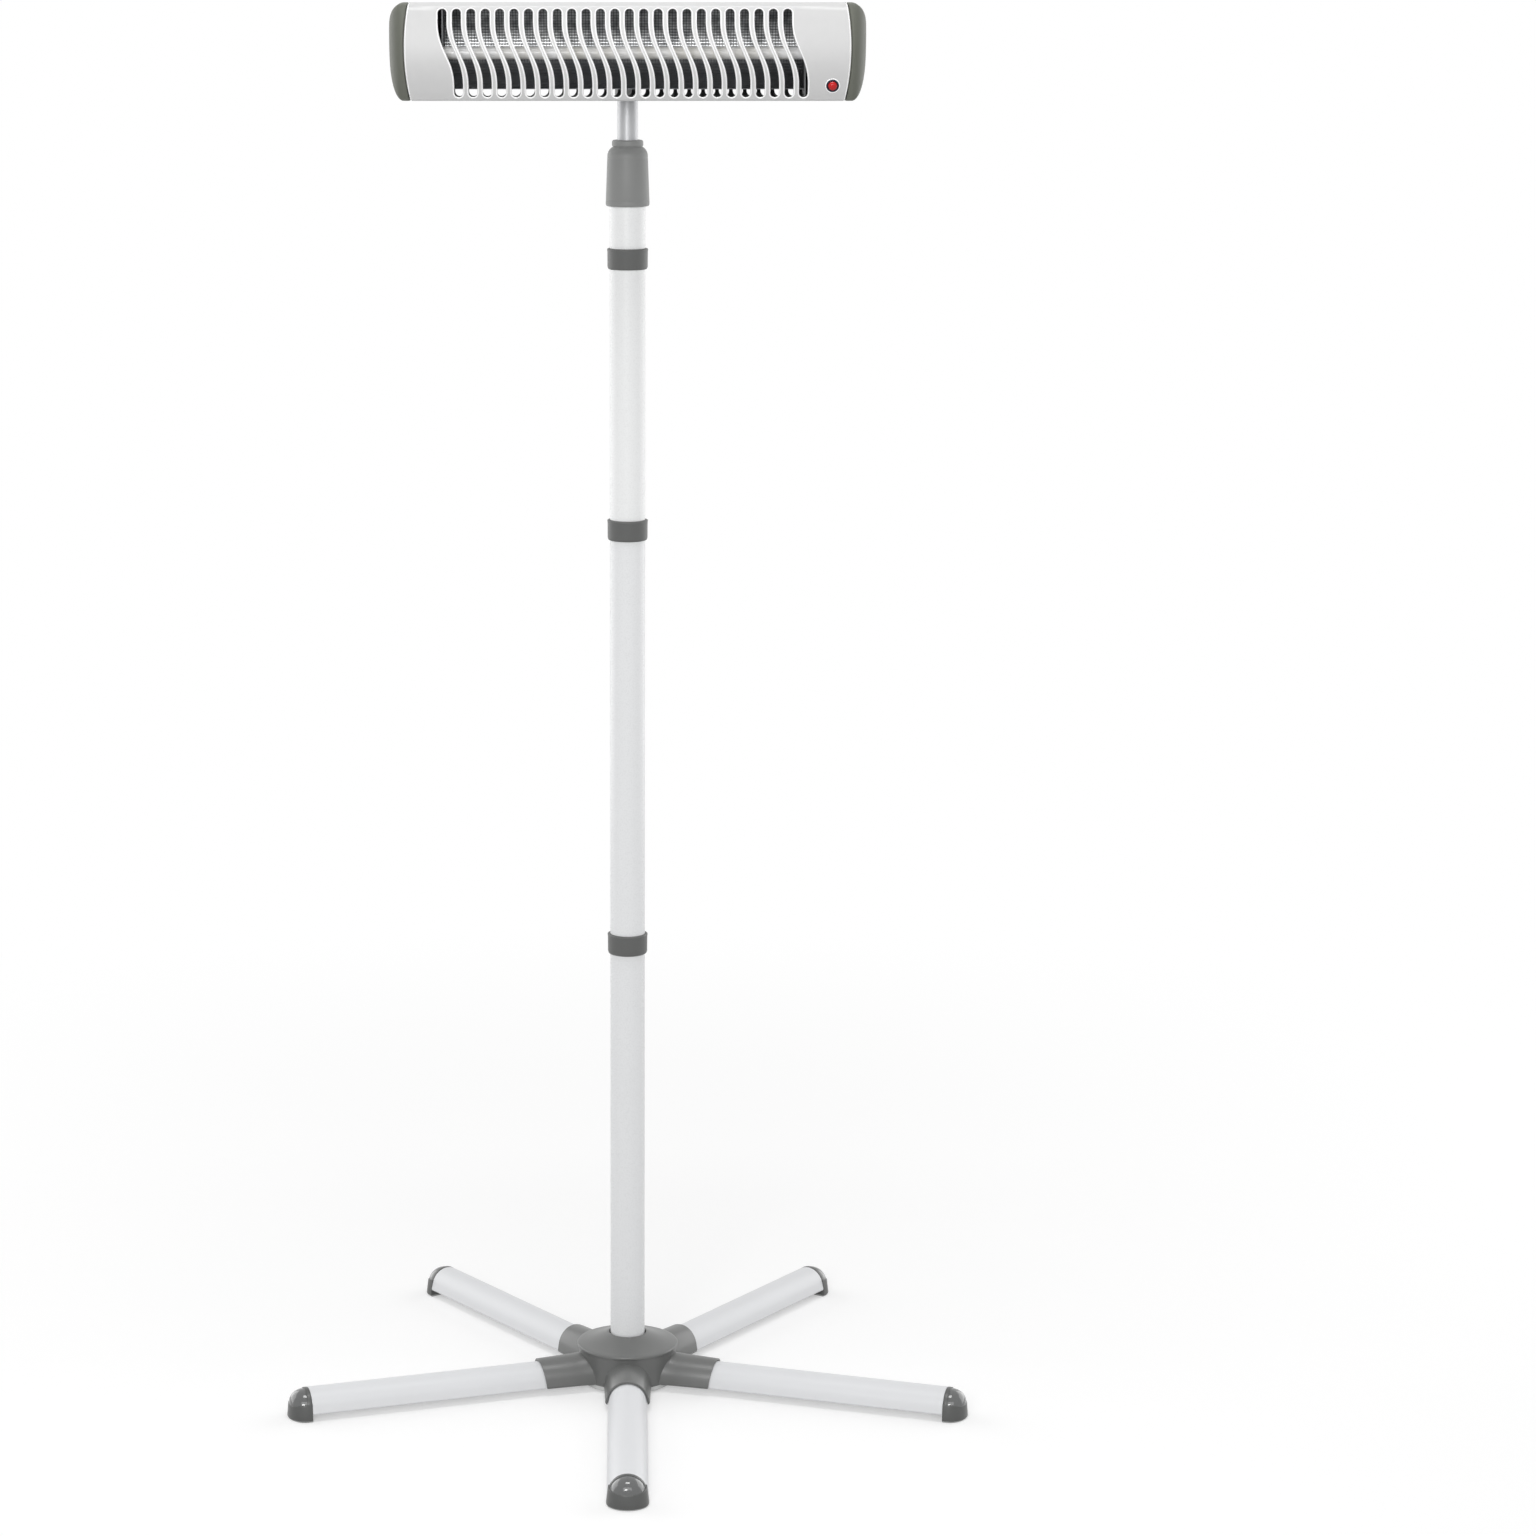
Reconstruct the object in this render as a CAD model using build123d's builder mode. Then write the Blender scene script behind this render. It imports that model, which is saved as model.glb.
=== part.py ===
from build123d import *
from math import asin, cos, hypot, radians, sin, tan
import os

os.makedirs("parts", exist_ok=True)

# Infrared heater on a telescopic mast with a five-leg star base.
# Millimetres, +Z up, floor at Z = 0, the heater faces -Y.
# The origin is the middle of the footprint on the floor.

# ---------------------------------------------------------------- driving sizes

# fits
SLIDE_GAP = 0.3            # between faces of pieces that move on each other
SEAT_GAP = 0.15            # between round faces of pieces that are fixed together
PIN_GAP = 0.08             # running fit of the pivot bolt
PIN_END_GAP = 0.5          # end of the pivot bolt to the bottom of the knob's bore
SEAM_GAP = 0.3             # open line between two moulded covers

# star base
LEG_ANGLES = {"front": -90, "front_right": -18, "rear_right": 54, "rear_left": 126, "front_left": 198}
LEG_REACH = 390.0          # mast axis to the tip of a foot cap
LEG_WIDTH = 43.0
LEG_HEIGHT = 24.5
LEG_SHOULDER = 9.5         # height of the leaning flank under the round crown
LEG_DRAFT = 1.8            # how far each flank leans in
LEG_WALL = 1.5
LEG_LIFT = 8.0             # floor to the underside of a leg
LEG_START = 44.0           # mast axis to the inner end of a leg
CAP_LENGTH = 24.0          # seam to tip of a foot cap
CAP_PLUG = 22.0            # length that sits inside the leg tube
CAP_NOSE = 12.0            # height of the upright tip under its round nose
CAP_EDGE = 3.0             # rounding where the cap meets the floor
CAP_SPLAY = 0.8            # how much wider each side of a cap gets at the floor
CAP_COLLAR = 5.0           # length of a cap's arched collar behind its dome
CAP_LEDGE = 1.6            # how far the dome is drawn in from collar and skirt
CAP_SKIRT_BACK = 20.5      # height of the skirt round the dome, at the seam
CAP_SKIRT_FRONT = 16.5     # the same at the tip

# hub
HUB_RADIUS = 56.0
HUB_RIM_HEIGHT = 46.0      # floor to the upper edge of the rim
HUB_RIM = 3.0              # thickness of the rim
HUB_WAIST = 52.0           # radius at the underside
HUB_SKIRT_SAG = 0.8        # hollow of the skirt between underside and rim
HUB_COLLAR_HEIGHT = 57.5   # floor to the lip round the mast
HUB_COLLAR = 2.6           # width of that lip
HUB_GROOVE = 1.4           # width of the shadow groove between lip and mast
HUB_GROOVE_DEPTH = 3.0
HUB_FLOOR = 15.0           # floor to the bottom of the mast socket
SOCKET_REACH = 104.0       # mast axis to the upper edge of a leg socket
SOCKET_WALL = 3.0
SOCKET_FLARE = 1.5         # how much wider each side gets at the root
SOCKET_RISE = 4.0          # how much higher the crown gets at the root
SOCKET_LEAN = 7.5          # degrees that the mouth of a socket leans out
PLATE_THICKNESS = 5.5
LEG_SCREW_REACH = 76.0     # mast axis to the screw of a leg
LEG_SCREW_RADIUS = 2.5
LEG_SCREW_HEAD = 4.5
BOLT_RADIUS = 5.0          # centre bolt under the hub
BOLT_HEAD = 9.0
BOLT_HEAD_HEIGHT = 1.8
PLUG_HEIGHT = 40.0         # threaded plug in the foot of the mast

# mast
MAST_RADIUS = 19.0
MAST_WALL = 1.2
COLLAR_RADIUS = 22.0
COLLAR_HEIGHT = 22.0
COLLAR_CHAMFER = 1.8
COLLAR_LIP = 0.6
SPIGOT_LENGTH = 55.0
SPIGOT_WALL = 2.6
TUBE_LOWER = 434.0         # visible lengths between the collars
TUBE_MIDDLE = 436.0
TUBE_UPPER = 270.0
TUBE_TOP = 45.0

# twist clamp
CLAMP_HEIGHT = 70.0
CLAMP_FOOT_RADIUS = 23.4
CLAMP_SHOULDER_RADIUS = 21.6
CLAMP_SHOULDER = 17.0      # top of the clamp down to its shoulder
CLAMP_NECK_RADIUS = 16.7
CLAMP_NECK = 6.0           # height of the neck ring
CLAMP_WAIST = 0.8          # depth of the groove under the neck ring
CLAMP_NECK_EDGE = 1.5      # bevel round the top of the neck ring
CLAMP_FOOT_EDGE = 2.0      # bevel round the foot of the clamp
CLAMP_OVERLAP = 34.0       # length of mast tube inside the clamp
COLLET_SEAT = 20.0         # length of the collet inside the mast tube
COLLET_NOSE = 24.0         # length of its split nose above the mast tube
COLLET_SLIT = 2.0
COLLET_SLITS = 4
COLLET_FLANGE = 2.0        # collar of the collet on the mouth of the mast tube
NOSE_WALL_FOOT = 4.5       # wall of the collet's nose at its foot and at its top
NOSE_WALL_TOP = 2.5

# inner mast and tilt joint
INNER_RADIUS = 11.0
INNER_WALL = 1.2
INNER_DEPTH = 370.0        # length of inner tube below the mouth of the mast tube
GLIDE_HEIGHT = 22.0
FITTING_RADIUS = 13.5
FITTING_HEIGHT = 26.0      # cup over the top of the inner tube
FITTING_DROP = 24.0        # pivot down to the top of that cup
EYE_RADIUS = 12.0
EYE_THICKNESS = 14.0
WASHER_THICKNESS = 1.5
PIVOT_RADIUS = 4.0
PIVOT_HEAD = 6.5
PIVOT_HEAD_HEIGHT = 4.0
EAR_THICKNESS = 2.5
BRACKET_WIDTH = 54.0
BRACKET_HEIGHT = 32.0
BRACKET_CORNER = 5.0
BRACKET_SCREW_INSET = 7.0  # ends of the bracket pad to its screws
BRACKET_SCREW_HEIGHT = 2.4
BRACKET_SCREW_LENGTH = 12.0
EAR_LENGTH = 21.6          # pivot to where the ears widen into the pad
KNOB_RADIUS = 16.0
KNOB_HEIGHT = 15.0
KNOB_LOBES = 6
KNOB_LOBE_RADIUS = 4.0
KNOB_WAIST = 2.5           # how far the valleys lie inside the lobes
KNOB_END = 3.5             # thickness of the knob over the end of the bolt

# heater head
HEAD_GAP = 38.0            # mast axis to the back of the rear cover
HEAD_RISE = 95.5           # top of the clamp up to the middle of the head
HEAD_HEIGHT = 101.0
HEAD_LENGTH = 494.0
FRONT_DEPTH = 47.0         # seam between casing and cover to the front of the face
REAR_DEPTH = 48.0          # the same seam to the back of the cover
BEVEL_HEIGHT = 3.0         # from the flat top, or bottom, to the bulged face
FACE_BULGE = 8.5
BEVEL_DEPTH = 5.0
TOP_FALL = 0.8             # how much lower the casing's top is at the bevel
CASING_WALL = 1.2
COVER_WALL = 2.0
CAP_INSET_TOP = 21.0       # end of the head to the end seam, at the top
CAP_INSET_MIDDLE = 17.0
CAP_INSET_BOTTOM = 23.0
TONGUE = 5.0               # lip of the rear cover inside the casing
TONGUE_GAP = 0.4           # play of that lip
TAB_DROP = 17.0            # screw tabs of the casing
TAB_WIDTH = 14.0
PAD_SEAT_DEPTH = 6.0       # thickness of the cover behind the bracket pad
PAD_SEAT_MARGIN = 2.0      # how far the bracket pad overhangs that seat at each end
POST_SEAT = 14.0           # seam to the floor of a screw well

CAP_WALL = 3.0             # end caps
CAP_SPIGOT = 4.0           # how far the caps' inner edge reaches past the lower end seam
CAP_RISE = 20.0            # how far above the middle the domes draw together
CAP_ROUNDNESS = 0.74
CAP_STEPS = (25, 45, 60, 72, 82)
CAP_TONGUE = 5.5

# S-shaped slots of the face
SLOT_COUNT = 25
SLOT_ROW_MARGINS = 138.8   # head's length beyond the first and last slot's middles
SLOT_WIDTH = 8.9
SLOT_MARGIN = 2.5          # slot's end to the edge of the face
SLOT_SHIFT = 16.6          # sideways run of the S
SLOT_BEND_RADIUS = 62.0
SLOT_SLANT = 24.0          # degrees off upright in the middle of the S
SLOT_OFFSET = -4.8         # middle of the row from the middle of the head
SLOT_DROP = 0.7

# vents of the rear cover
VENT_ROW_MARGINS = 146.0
VENT_COUNT = 25
VENT_WIDTH = 10.6
VENT_RISE = 4.0            # underside of the head to the lower end of a vent
VENT_HEIGHT = 13.5
VENT_PHASE = -0.9          # middle of the row from the middle of the head

# heating element
ELEMENT_SETBACK = 30.0     # front of the face to the tube's axis
ELEMENT_DROP = 1.0
QUARTZ_RADIUS = 6.5
QUARTZ_WALL = 1.2
COIL_RADIUS = 4.6
HOLDER_INSET_LEFT = 57.0   # ends of the head to the end plates of the trough
HOLDER_INSET_RIGHT = 65.0
HOLDER_THICKNESS = 1.5
PLATE_MARGIN = 2.0         # end plates beyond the trough's lips and back
FLANGE_MIDDLE = -20.0      # feet of the end plates, from the seam
FLANGE_DEPTH = 16.0
FLANGE_REACH = 9.0
FLANGE_ROOT = 4.0          # height of the plate's part that carries a foot
CERAMIC_RADIUS = 10.0
CERAMIC_LENGTH = 14.0
CERAMIC_FLOOR = 4.0        # closed end of a ceramic socket
CERAMIC_EDGE = 1.5
COIL_WIRE = 1.0            # wall of the close-wound coil
REFLECTOR_INSET_TOP = 6.5  # top and underside of the head to the trough's lips
REFLECTOR_INSET_BOTTOM = 13.5
REFLECTOR_MOUTH = -31.0    # seam to the lips
REFLECTOR_BACK = 14.0      # seam to the back of the trough
REFLECTOR_WALL = 0.8
CUTOUT_PLACE = 60.0        # thermal cut-out along the head
CUTOUT_RADIUS = 8.0
CUTOUT_DEPTH = 9.0

# push button
BUTTON_INSET = 36.2        # right end of the head to the button
BUTTON_RISE = 16.7         # underside of the head to the button
BUTTON_RADIUS = 4.8
BUTTON_DOME = 1.6
BUTTON_PROUD = 1.0         # shoulder of the cap above the bezel
BUTTON_TRAVEL = 1.8
BEZEL_RADIUS = 7.0
BEZEL_HEIGHT = 1.4
BEZEL_BODY_RADIUS = 6.0
BEZEL_LENGTH = 9.0
STEM_RADIUS = 2.6          # stem under the button's cap
STEM_LENGTH = 7.0
STOP_GAP = 0.2             # pressed button to the switch block
SWITCH_SIZE = 14.0
SWITCH_LENGTH = 20.0

# small parts of the head
TERMINAL_INSET = 37.0      # left end of the head to the terminal block
TERMINAL_WIDTH = 16.0
TERMINAL_HEIGHT = 12.0
TERMINAL_DEPTH = 12.0
TERMINAL_PITCH = 8.0
TERMINAL_HOLE_RADIUS = 2.0
TERMINAL_HOLE_DEPTH = 6.0
TERMINAL_STANDOFF = 0.5    # inside of the cover to the block
INLET_INSET = 97.0         # right end of the head to the cable inlet
INLET_RADIUS = 7.0
INLET_BORE = 3.6
INLET_FLANGE = 2.0         # width of the bush's flange outside the cover
INLET_FLANGE_HEIGHT = 3.0
INLET_TAIL = 4.0           # length of the bush inside the cover
INLET_STANDOFF = 0.05
COVER_SCREW_INSET = 47.0   # ends of the head to the screws of the cover
COVER_SCREW_EDGE = 12.5    # top and underside of the head to them
COVER_SCREW_RADIUS = 1.9
COVER_SCREW_HEAD = 3.6
COVER_SCREW_HEIGHT = 2.2
COVER_SCREW_END = 3.0      # thread beyond the casing's tab
POST_RADIUS = 5.2

# ---------------------------------------------------------------- derived places


def cap_overhang(angle):
    """How far a foot cap's round end reaches past its centre, at an angle off the leg."""
    across = LEG_WIDTH / 2 + CAP_SPLAY
    return hypot(CAP_LENGTH * cos(radians(angle)), across * sin(radians(angle)))


BACK_LEG_TURN = 90 - LEG_ANGLES["rear_right"]
BACK_REACH = (LEG_REACH - CAP_LENGTH) * cos(radians(BACK_LEG_TURN)) + cap_overhang(BACK_LEG_TURN)
MAST_Y = (LEG_REACH - BACK_REACH) / 2
MAST_AXIS = Axis((0, MAST_Y, 0), (0, 0, 1))
MAST_SECTION = Plane(origin=(0, MAST_Y, 0), x_dir=(1, 0, 0), z_dir=(0, -1, 0))

LEG_TOP = LEG_LIFT + LEG_HEIGHT
LEG_SEAM = LEG_REACH - CAP_LENGTH
COLLAR_LOWER_Z = HUB_COLLAR_HEIGHT + TUBE_LOWER
COLLAR_MIDDLE_Z = COLLAR_LOWER_Z + COLLAR_HEIGHT + TUBE_MIDDLE
COLLAR_UPPER_Z = COLLAR_MIDDLE_Z + COLLAR_HEIGHT + TUBE_UPPER
CLAMP_Z = COLLAR_UPPER_Z + COLLAR_HEIGHT + TUBE_TOP
CLAMP_TOP = CLAMP_Z + CLAMP_HEIGHT
MAST_TOP = CLAMP_Z + CLAMP_OVERLAP
MAST_BORE = MAST_RADIUS - MAST_WALL
SPIGOT_RADIUS = MAST_BORE - SEAT_GAP
SPIGOT_BORE = SPIGOT_RADIUS - SPIGOT_WALL

HEAD_Z = CLAMP_TOP + HEAD_RISE
HEAD_Y = MAST_Y - HEAD_GAP - REAR_DEPTH          # the plane of the casing's seam
HALF_HEIGHT = HEAD_HEIGHT / 2
HALF_LENGTH = HEAD_LENGTH / 2
FACE_HEIGHT = HEAD_HEIGHT - 2 * BEVEL_HEIGHT
SEAM_TOP = HALF_LENGTH - CAP_INSET_TOP           # middle of the head to the end seams
SEAM_MIDDLE = HALF_LENGTH - CAP_INSET_MIDDLE
SEAM_BOTTOM = HALF_LENGTH - CAP_INSET_BOTTOM
SLOT_HEIGHT = FACE_HEIGHT - 2 * SLOT_MARGIN
SLOT_PITCH = (HEAD_LENGTH - SLOT_ROW_MARGINS) / (SLOT_COUNT - 1)
VENT_PITCH = (HEAD_LENGTH - VENT_ROW_MARGINS) / (VENT_COUNT - 1)
HOLDER_LEFT = HOLDER_INSET_LEFT - HALF_LENGTH    # places along the head from its middle
HOLDER_RIGHT = HALF_LENGTH - HOLDER_INSET_RIGHT
BUTTON_PLACE = HALF_LENGTH - BUTTON_INSET
TERMINAL_PLACE = TERMINAL_INSET - HALF_LENGTH
INLET_PLACE = HALF_LENGTH - INLET_INSET
COVER_SCREW_PLACE = HALF_LENGTH - COVER_SCREW_INSET
VENT_LOW = VENT_RISE - HALF_HEIGHT               # heights from the middle of the head
VENT_HIGH = VENT_LOW + VENT_HEIGHT
REFLECTOR_TOP = HALF_HEIGHT - REFLECTOR_INSET_TOP
REFLECTOR_BOTTOM = REFLECTOR_INSET_BOTTOM - HALF_HEIGHT
BUTTON_DROP = HALF_HEIGHT - BUTTON_RISE
COVER_SCREW_RISE = HALF_HEIGHT - COVER_SCREW_EDGE
FACE_RADIUS = ((FACE_HEIGHT / 2) ** 2 + FACE_BULGE**2) / (2 * FACE_BULGE)
PIVOT = Axis((0, MAST_Y, HEAD_Z), (1, 0, 0))
ELEMENT_Y = -FRONT_DEPTH + ELEMENT_SETBACK       # from the seam


def level(height):
    """Horizontal plane on the mast axis."""
    return Plane(origin=(0, MAST_Y, height))


def across_leg(angle, reach, lean=0):
    """Plane square to a leg: local x runs across it and local y up, leaning outwards."""
    out = Vector(cos(radians(angle)), sin(radians(angle)), 0)
    across = Vector(-sin(radians(angle)), cos(radians(angle)), 0)
    normal = out * cos(radians(lean)) - Vector(0, 0, 1) * sin(radians(lean))
    return Plane(origin=Vector(0, MAST_Y, 0) + out * reach, x_dir=across, z_dir=normal)


def along_leg(angle):
    """Upright plane through a leg's axis: local x runs outwards and local y up."""
    out = (cos(radians(angle)), sin(radians(angle)), 0)
    return Plane(origin=(0, MAST_Y, 0), x_dir=out, z_dir=(out[1], -out[0], 0))


def head_front(y=0.0):
    """Upright plane in front of the viewer: local x along the head, local y up, facing -Y."""
    return Plane(origin=(0, HEAD_Y + y, HEAD_Z), x_dir=(1, 0, 0), z_dir=(0, -1, 0))


def head_side(x):
    """Plane square to the head's length: local x runs back and local y up, facing +X."""
    return Plane(origin=(x, HEAD_Y, HEAD_Z), x_dir=(0, 1, 0), z_dir=(1, 0, 0))


def save(piece, name):
    """Label a finished piece and write it under its node's name."""
    piece.part.label = name
    export_step(piece.part, f"parts/{name}.step")


def arch(width, foot, shoulder, crown, draft):
    """Round-backed section: flat foot, leaning flanks and an arc over the top."""
    half = width / 2
    with BuildSketch() as section:
        with BuildLine():
            Line((-half, foot), (half, foot))
            flank = Line((half, foot), (half - draft, shoulder))
            ThreePointArc(flank @ 1, (0, crown), (draft - half, shoulder))
            Line((draft - half, shoulder), (-half, foot))
        make_face()
    return section.sketch


def leg_arch(grow, foot=LEG_LIFT):
    """Section of a leg tube, grown outwards by a clearance or wall, its flanks drawn down to a foot."""
    splay = LEG_DRAFT * (LEG_LIFT - foot) / LEG_SHOULDER
    width = LEG_WIDTH + 2 * (grow + splay)
    return arch(width, foot, LEG_LIFT + LEG_SHOULDER, LEG_TOP + grow, LEG_DRAFT + splay)


def turned(points):
    """Half section of a turned piece, from its radii and heights."""
    with BuildSketch() as section:
        with BuildLine():
            Polyline(*points, close=True)
        make_face()
    return section.sketch


# ---------------------------------------------------------------- star base

with BuildPart() as leg_blank:
    with BuildSketch(across_leg(0, LEG_START)):
        add(leg_arch(0))
        offset(amount=-LEG_WALL, mode=Mode.SUBTRACT)
    extrude(amount=LEG_SEAM - LEG_START)
    with BuildSketch(level(0)):
        with Locations((LEG_SCREW_REACH, 0)):
            Circle(LEG_SCREW_RADIUS + SEAT_GAP)
    extrude(amount=LEG_TOP + LEG_WALL, mode=Mode.SUBTRACT)



def cap_form(inset):
    """Round-ended form of a foot cap on the leg along +X, drawn in all round."""
    foot_width = LEG_WIDTH + 2 * (CAP_SPLAY - inset)
    crown = LEG_TOP - inset
    beyond = LEG_REACH - inset + 0.4             # the side outline clears the round plan
    with BuildPart() as form:
        with BuildSketch(across_leg(0, LEG_SEAM)):
            add(arch(foot_width, 0, LEG_LIFT + LEG_SHOULDER, crown, LEG_DRAFT + CAP_SPLAY))
        extrude(amount=CAP_LENGTH)
        with BuildSketch(level(0)):
            with Locations((LEG_SEAM, 0)):
                Ellipse(CAP_LENGTH - inset, foot_width / 2)
        extrude(amount=LEG_TOP, mode=Mode.INTERSECT)
        with BuildSketch(along_leg(0)):
            with BuildLine():
                sole = Line((LEG_SEAM, 0), (beyond - CAP_EDGE, 0))
                heel = RadiusArc(sole @ 1, (beyond, CAP_EDGE), -CAP_EDGE)
                Line(heel @ 1, (beyond, CAP_NOSE))
                nose = EllipticalCenterArc(
                    (LEG_SEAM, CAP_NOSE), beyond - LEG_SEAM, crown - CAP_NOSE, arc_size=90
                )
                Line(nose @ 1, (LEG_SEAM, 0))
            make_face()
        extrude(amount=LEG_WIDTH, both=True, mode=Mode.INTERSECT)
    return form.part


with BuildPart() as cap_blank:
    add(cap_form(0))
    with BuildSketch(along_leg(0)):
        with BuildLine():
            Polyline(
                (LEG_SEAM + CAP_COLLAR, 2 * LEG_TOP),
                (LEG_SEAM + CAP_COLLAR, CAP_SKIRT_BACK),
                (LEG_REACH + CAP_LEDGE, CAP_SKIRT_FRONT),
                (LEG_REACH + CAP_LEDGE, 2 * LEG_TOP),
                close=True,
            )
        make_face()
    extrude(amount=LEG_WIDTH, both=True, mode=Mode.SUBTRACT)
    add(cap_form(CAP_LEDGE))
    with BuildSketch(across_leg(0, LEG_SEAM - CAP_PLUG)):
        add(leg_arch(0))
        offset(amount=-LEG_WALL - SEAT_GAP, mode=Mode.REPLACE)
    extrude(amount=CAP_PLUG)

for place, angle in LEG_ANGLES.items():
    with BuildPart() as leg:
        add(leg_blank.part.rotate(MAST_AXIS, angle))
    save(leg, f"leg_{place}")
    with BuildPart() as foot_cap:
        add(cap_blank.part.rotate(MAST_AXIS, angle))
    save(foot_cap, f"foot_cap_{place}")

with BuildPart() as hub:
    with BuildSketch(MAST_SECTION):
        with BuildLine():
            skirt_top = (HUB_RADIUS - 1, HUB_RIM_HEIGHT - HUB_RIM - 1)
            rim_low = (HUB_RADIUS, HUB_RIM_HEIGHT - HUB_RIM)
            rim_high = (HUB_RADIUS, HUB_RIM_HEIGHT - 1)
            dome_foot = (HUB_RADIUS - 1.5, HUB_RIM_HEIGHT)
            lip = MAST_RADIUS + SLIDE_GAP + HUB_COLLAR
            dome_top = (lip + 2, HUB_COLLAR_HEIGHT - 2)
            skirt_middle = (
                (HUB_WAIST + HUB_RADIUS) / 2 - HUB_SKIRT_SAG,
                (LEG_LIFT + HUB_RIM_HEIGHT) / 2,
            )
            dome_middle = ((dome_foot[0] + dome_top[0]) / 2, (dome_foot[1] + dome_top[1]) / 2 - 1.2)
            Line((0, LEG_LIFT), (HUB_WAIST, LEG_LIFT))
            ThreePointArc((HUB_WAIST, LEG_LIFT), skirt_middle, skirt_top)
            Line(skirt_top, rim_low)
            Line(rim_low, rim_high)
            Line(rim_high, dome_foot)
            ThreePointArc(dome_foot, dome_middle, dome_top)
            Line(dome_top, (lip, HUB_COLLAR_HEIGHT))
            Line((lip, HUB_COLLAR_HEIGHT), (0, HUB_COLLAR_HEIGHT))
            Line((0, HUB_COLLAR_HEIGHT), (0, LEG_LIFT))
        make_face()
    revolve(axis=MAST_AXIS)
    mouth = SOCKET_REACH - (LEG_TOP + SOCKET_WALL) * tan(radians(SOCKET_LEAN))
    stretch = 1 / cos(radians(SOCKET_LEAN))
    for angle in LEG_ANGLES.values():
        with BuildSketch(across_leg(angle, MAST_RADIUS)):
            add(arch(
                LEG_WIDTH + 2 * (SOCKET_WALL + SOCKET_FLARE),
                LEG_LIFT,
                LEG_LIFT + LEG_SHOULDER,
                LEG_TOP + SOCKET_WALL + SOCKET_RISE,
                LEG_DRAFT,
            ))
        with BuildSketch(across_leg(angle, mouth, SOCKET_LEAN)):
            add(arch(
                LEG_WIDTH + 2 * SOCKET_WALL,
                LEG_LIFT * stretch,
                (LEG_LIFT + LEG_SHOULDER) * stretch,
                (LEG_TOP + SOCKET_WALL) * stretch,
                LEG_DRAFT,
            ))
        loft()
    for angle in LEG_ANGLES.values():
        with BuildSketch(across_leg(angle, LEG_START - SEAT_GAP)):
            add(leg_arch(SEAT_GAP, LEG_LIFT - 1))
        extrude(amount=SOCKET_REACH, mode=Mode.SUBTRACT)
    with BuildSketch(level(HUB_FLOOR)):
        Circle(MAST_RADIUS + SLIDE_GAP)
    extrude(amount=HUB_COLLAR_HEIGHT, mode=Mode.SUBTRACT)
    with BuildSketch(level(HUB_COLLAR_HEIGHT)):
        Circle(MAST_RADIUS + SLIDE_GAP + HUB_GROOVE)
    extrude(amount=-HUB_GROOVE_DEPTH, mode=Mode.SUBTRACT)
    with BuildSketch(level(0)):
        Circle(BOLT_RADIUS + SEAT_GAP)
        with PolarLocations(LEG_SCREW_REACH, len(LEG_ANGLES), LEG_ANGLES["front"]):
            Circle(LEG_SCREW_RADIUS + SEAT_GAP)
    extrude(amount=LEG_TOP + SOCKET_WALL, mode=Mode.SUBTRACT)
save(hub, "hub")

with BuildPart() as bottom_plate:
    with BuildSketch(level(LEG_LIFT - PLATE_THICKNESS)):
        Circle(HUB_WAIST - 0.5)
    extrude(amount=PLATE_THICKNESS)
    fillet(bottom_plate.edges().group_by(Axis.Z)[0], PLATE_THICKNESS / 3)
    with BuildSketch(level(LEG_LIFT - PLATE_THICKNESS)):
        Circle(BOLT_HEAD + SLIDE_GAP)
    extrude(amount=BOLT_HEAD_HEIGHT, mode=Mode.SUBTRACT)
    with BuildSketch(level(0)):
        Circle(BOLT_RADIUS + SEAT_GAP)
    extrude(amount=LEG_LIFT, mode=Mode.SUBTRACT)
save(bottom_plate, "bottom_plate")

with BuildPart() as centre_bolt:
    with BuildSketch(level(LEG_LIFT - PLATE_THICKNESS)):
        Circle(BOLT_HEAD)
    extrude(amount=BOLT_HEAD_HEIGHT)
    with BuildSketch(level(LEG_LIFT - PLATE_THICKNESS)):
        RegularPolygon(radius=BOLT_RADIUS * 0.8, side_count=6)
    extrude(amount=BOLT_HEAD_HEIGHT / 2, mode=Mode.SUBTRACT)
    with BuildSketch(level(LEG_LIFT - PLATE_THICKNESS + BOLT_HEAD_HEIGHT)):
        Circle(BOLT_RADIUS)
    extrude(amount=HUB_FLOOR + PLUG_HEIGHT - LEG_LIFT)
save(centre_bolt, "centre_bolt")

with BuildPart() as mast_plug:
    with BuildSketch(level(HUB_FLOOR)):
        Circle(SPIGOT_RADIUS)
        Circle(BOLT_RADIUS + SEAT_GAP, mode=Mode.SUBTRACT)
    extrude(amount=PLUG_HEIGHT)
    chamfer(mast_plug.edges().group_by(Axis.Z)[-1].sort_by(SortBy.LENGTH)[-1], MAST_WALL)
save(mast_plug, "mast_plug")

with BuildPart() as leg_screws:
    with BuildSketch(level(LEG_LIFT - LEG_SCREW_RADIUS)):
        with PolarLocations(LEG_SCREW_REACH, len(LEG_ANGLES), LEG_ANGLES["front"]):
            Circle(LEG_SCREW_HEAD)
    extrude(amount=LEG_SCREW_RADIUS)
    with BuildSketch(level(LEG_LIFT)):
        with PolarLocations(LEG_SCREW_REACH, len(LEG_ANGLES), LEG_ANGLES["front"]):
            Circle(LEG_SCREW_RADIUS)
    extrude(amount=LEG_HEIGHT + SOCKET_WALL - 1)
save(leg_screws, "leg_screws")

# ---------------------------------------------------------------- mast


def mast_tube(name, bottom, top):
    """Plain painted tube between two heights."""
    with BuildPart() as tube:
        with BuildSketch(level(bottom)):
            Circle(MAST_RADIUS)
            Circle(MAST_BORE, mode=Mode.SUBTRACT)
        extrude(amount=top - bottom)
    save(tube, name)


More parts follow.
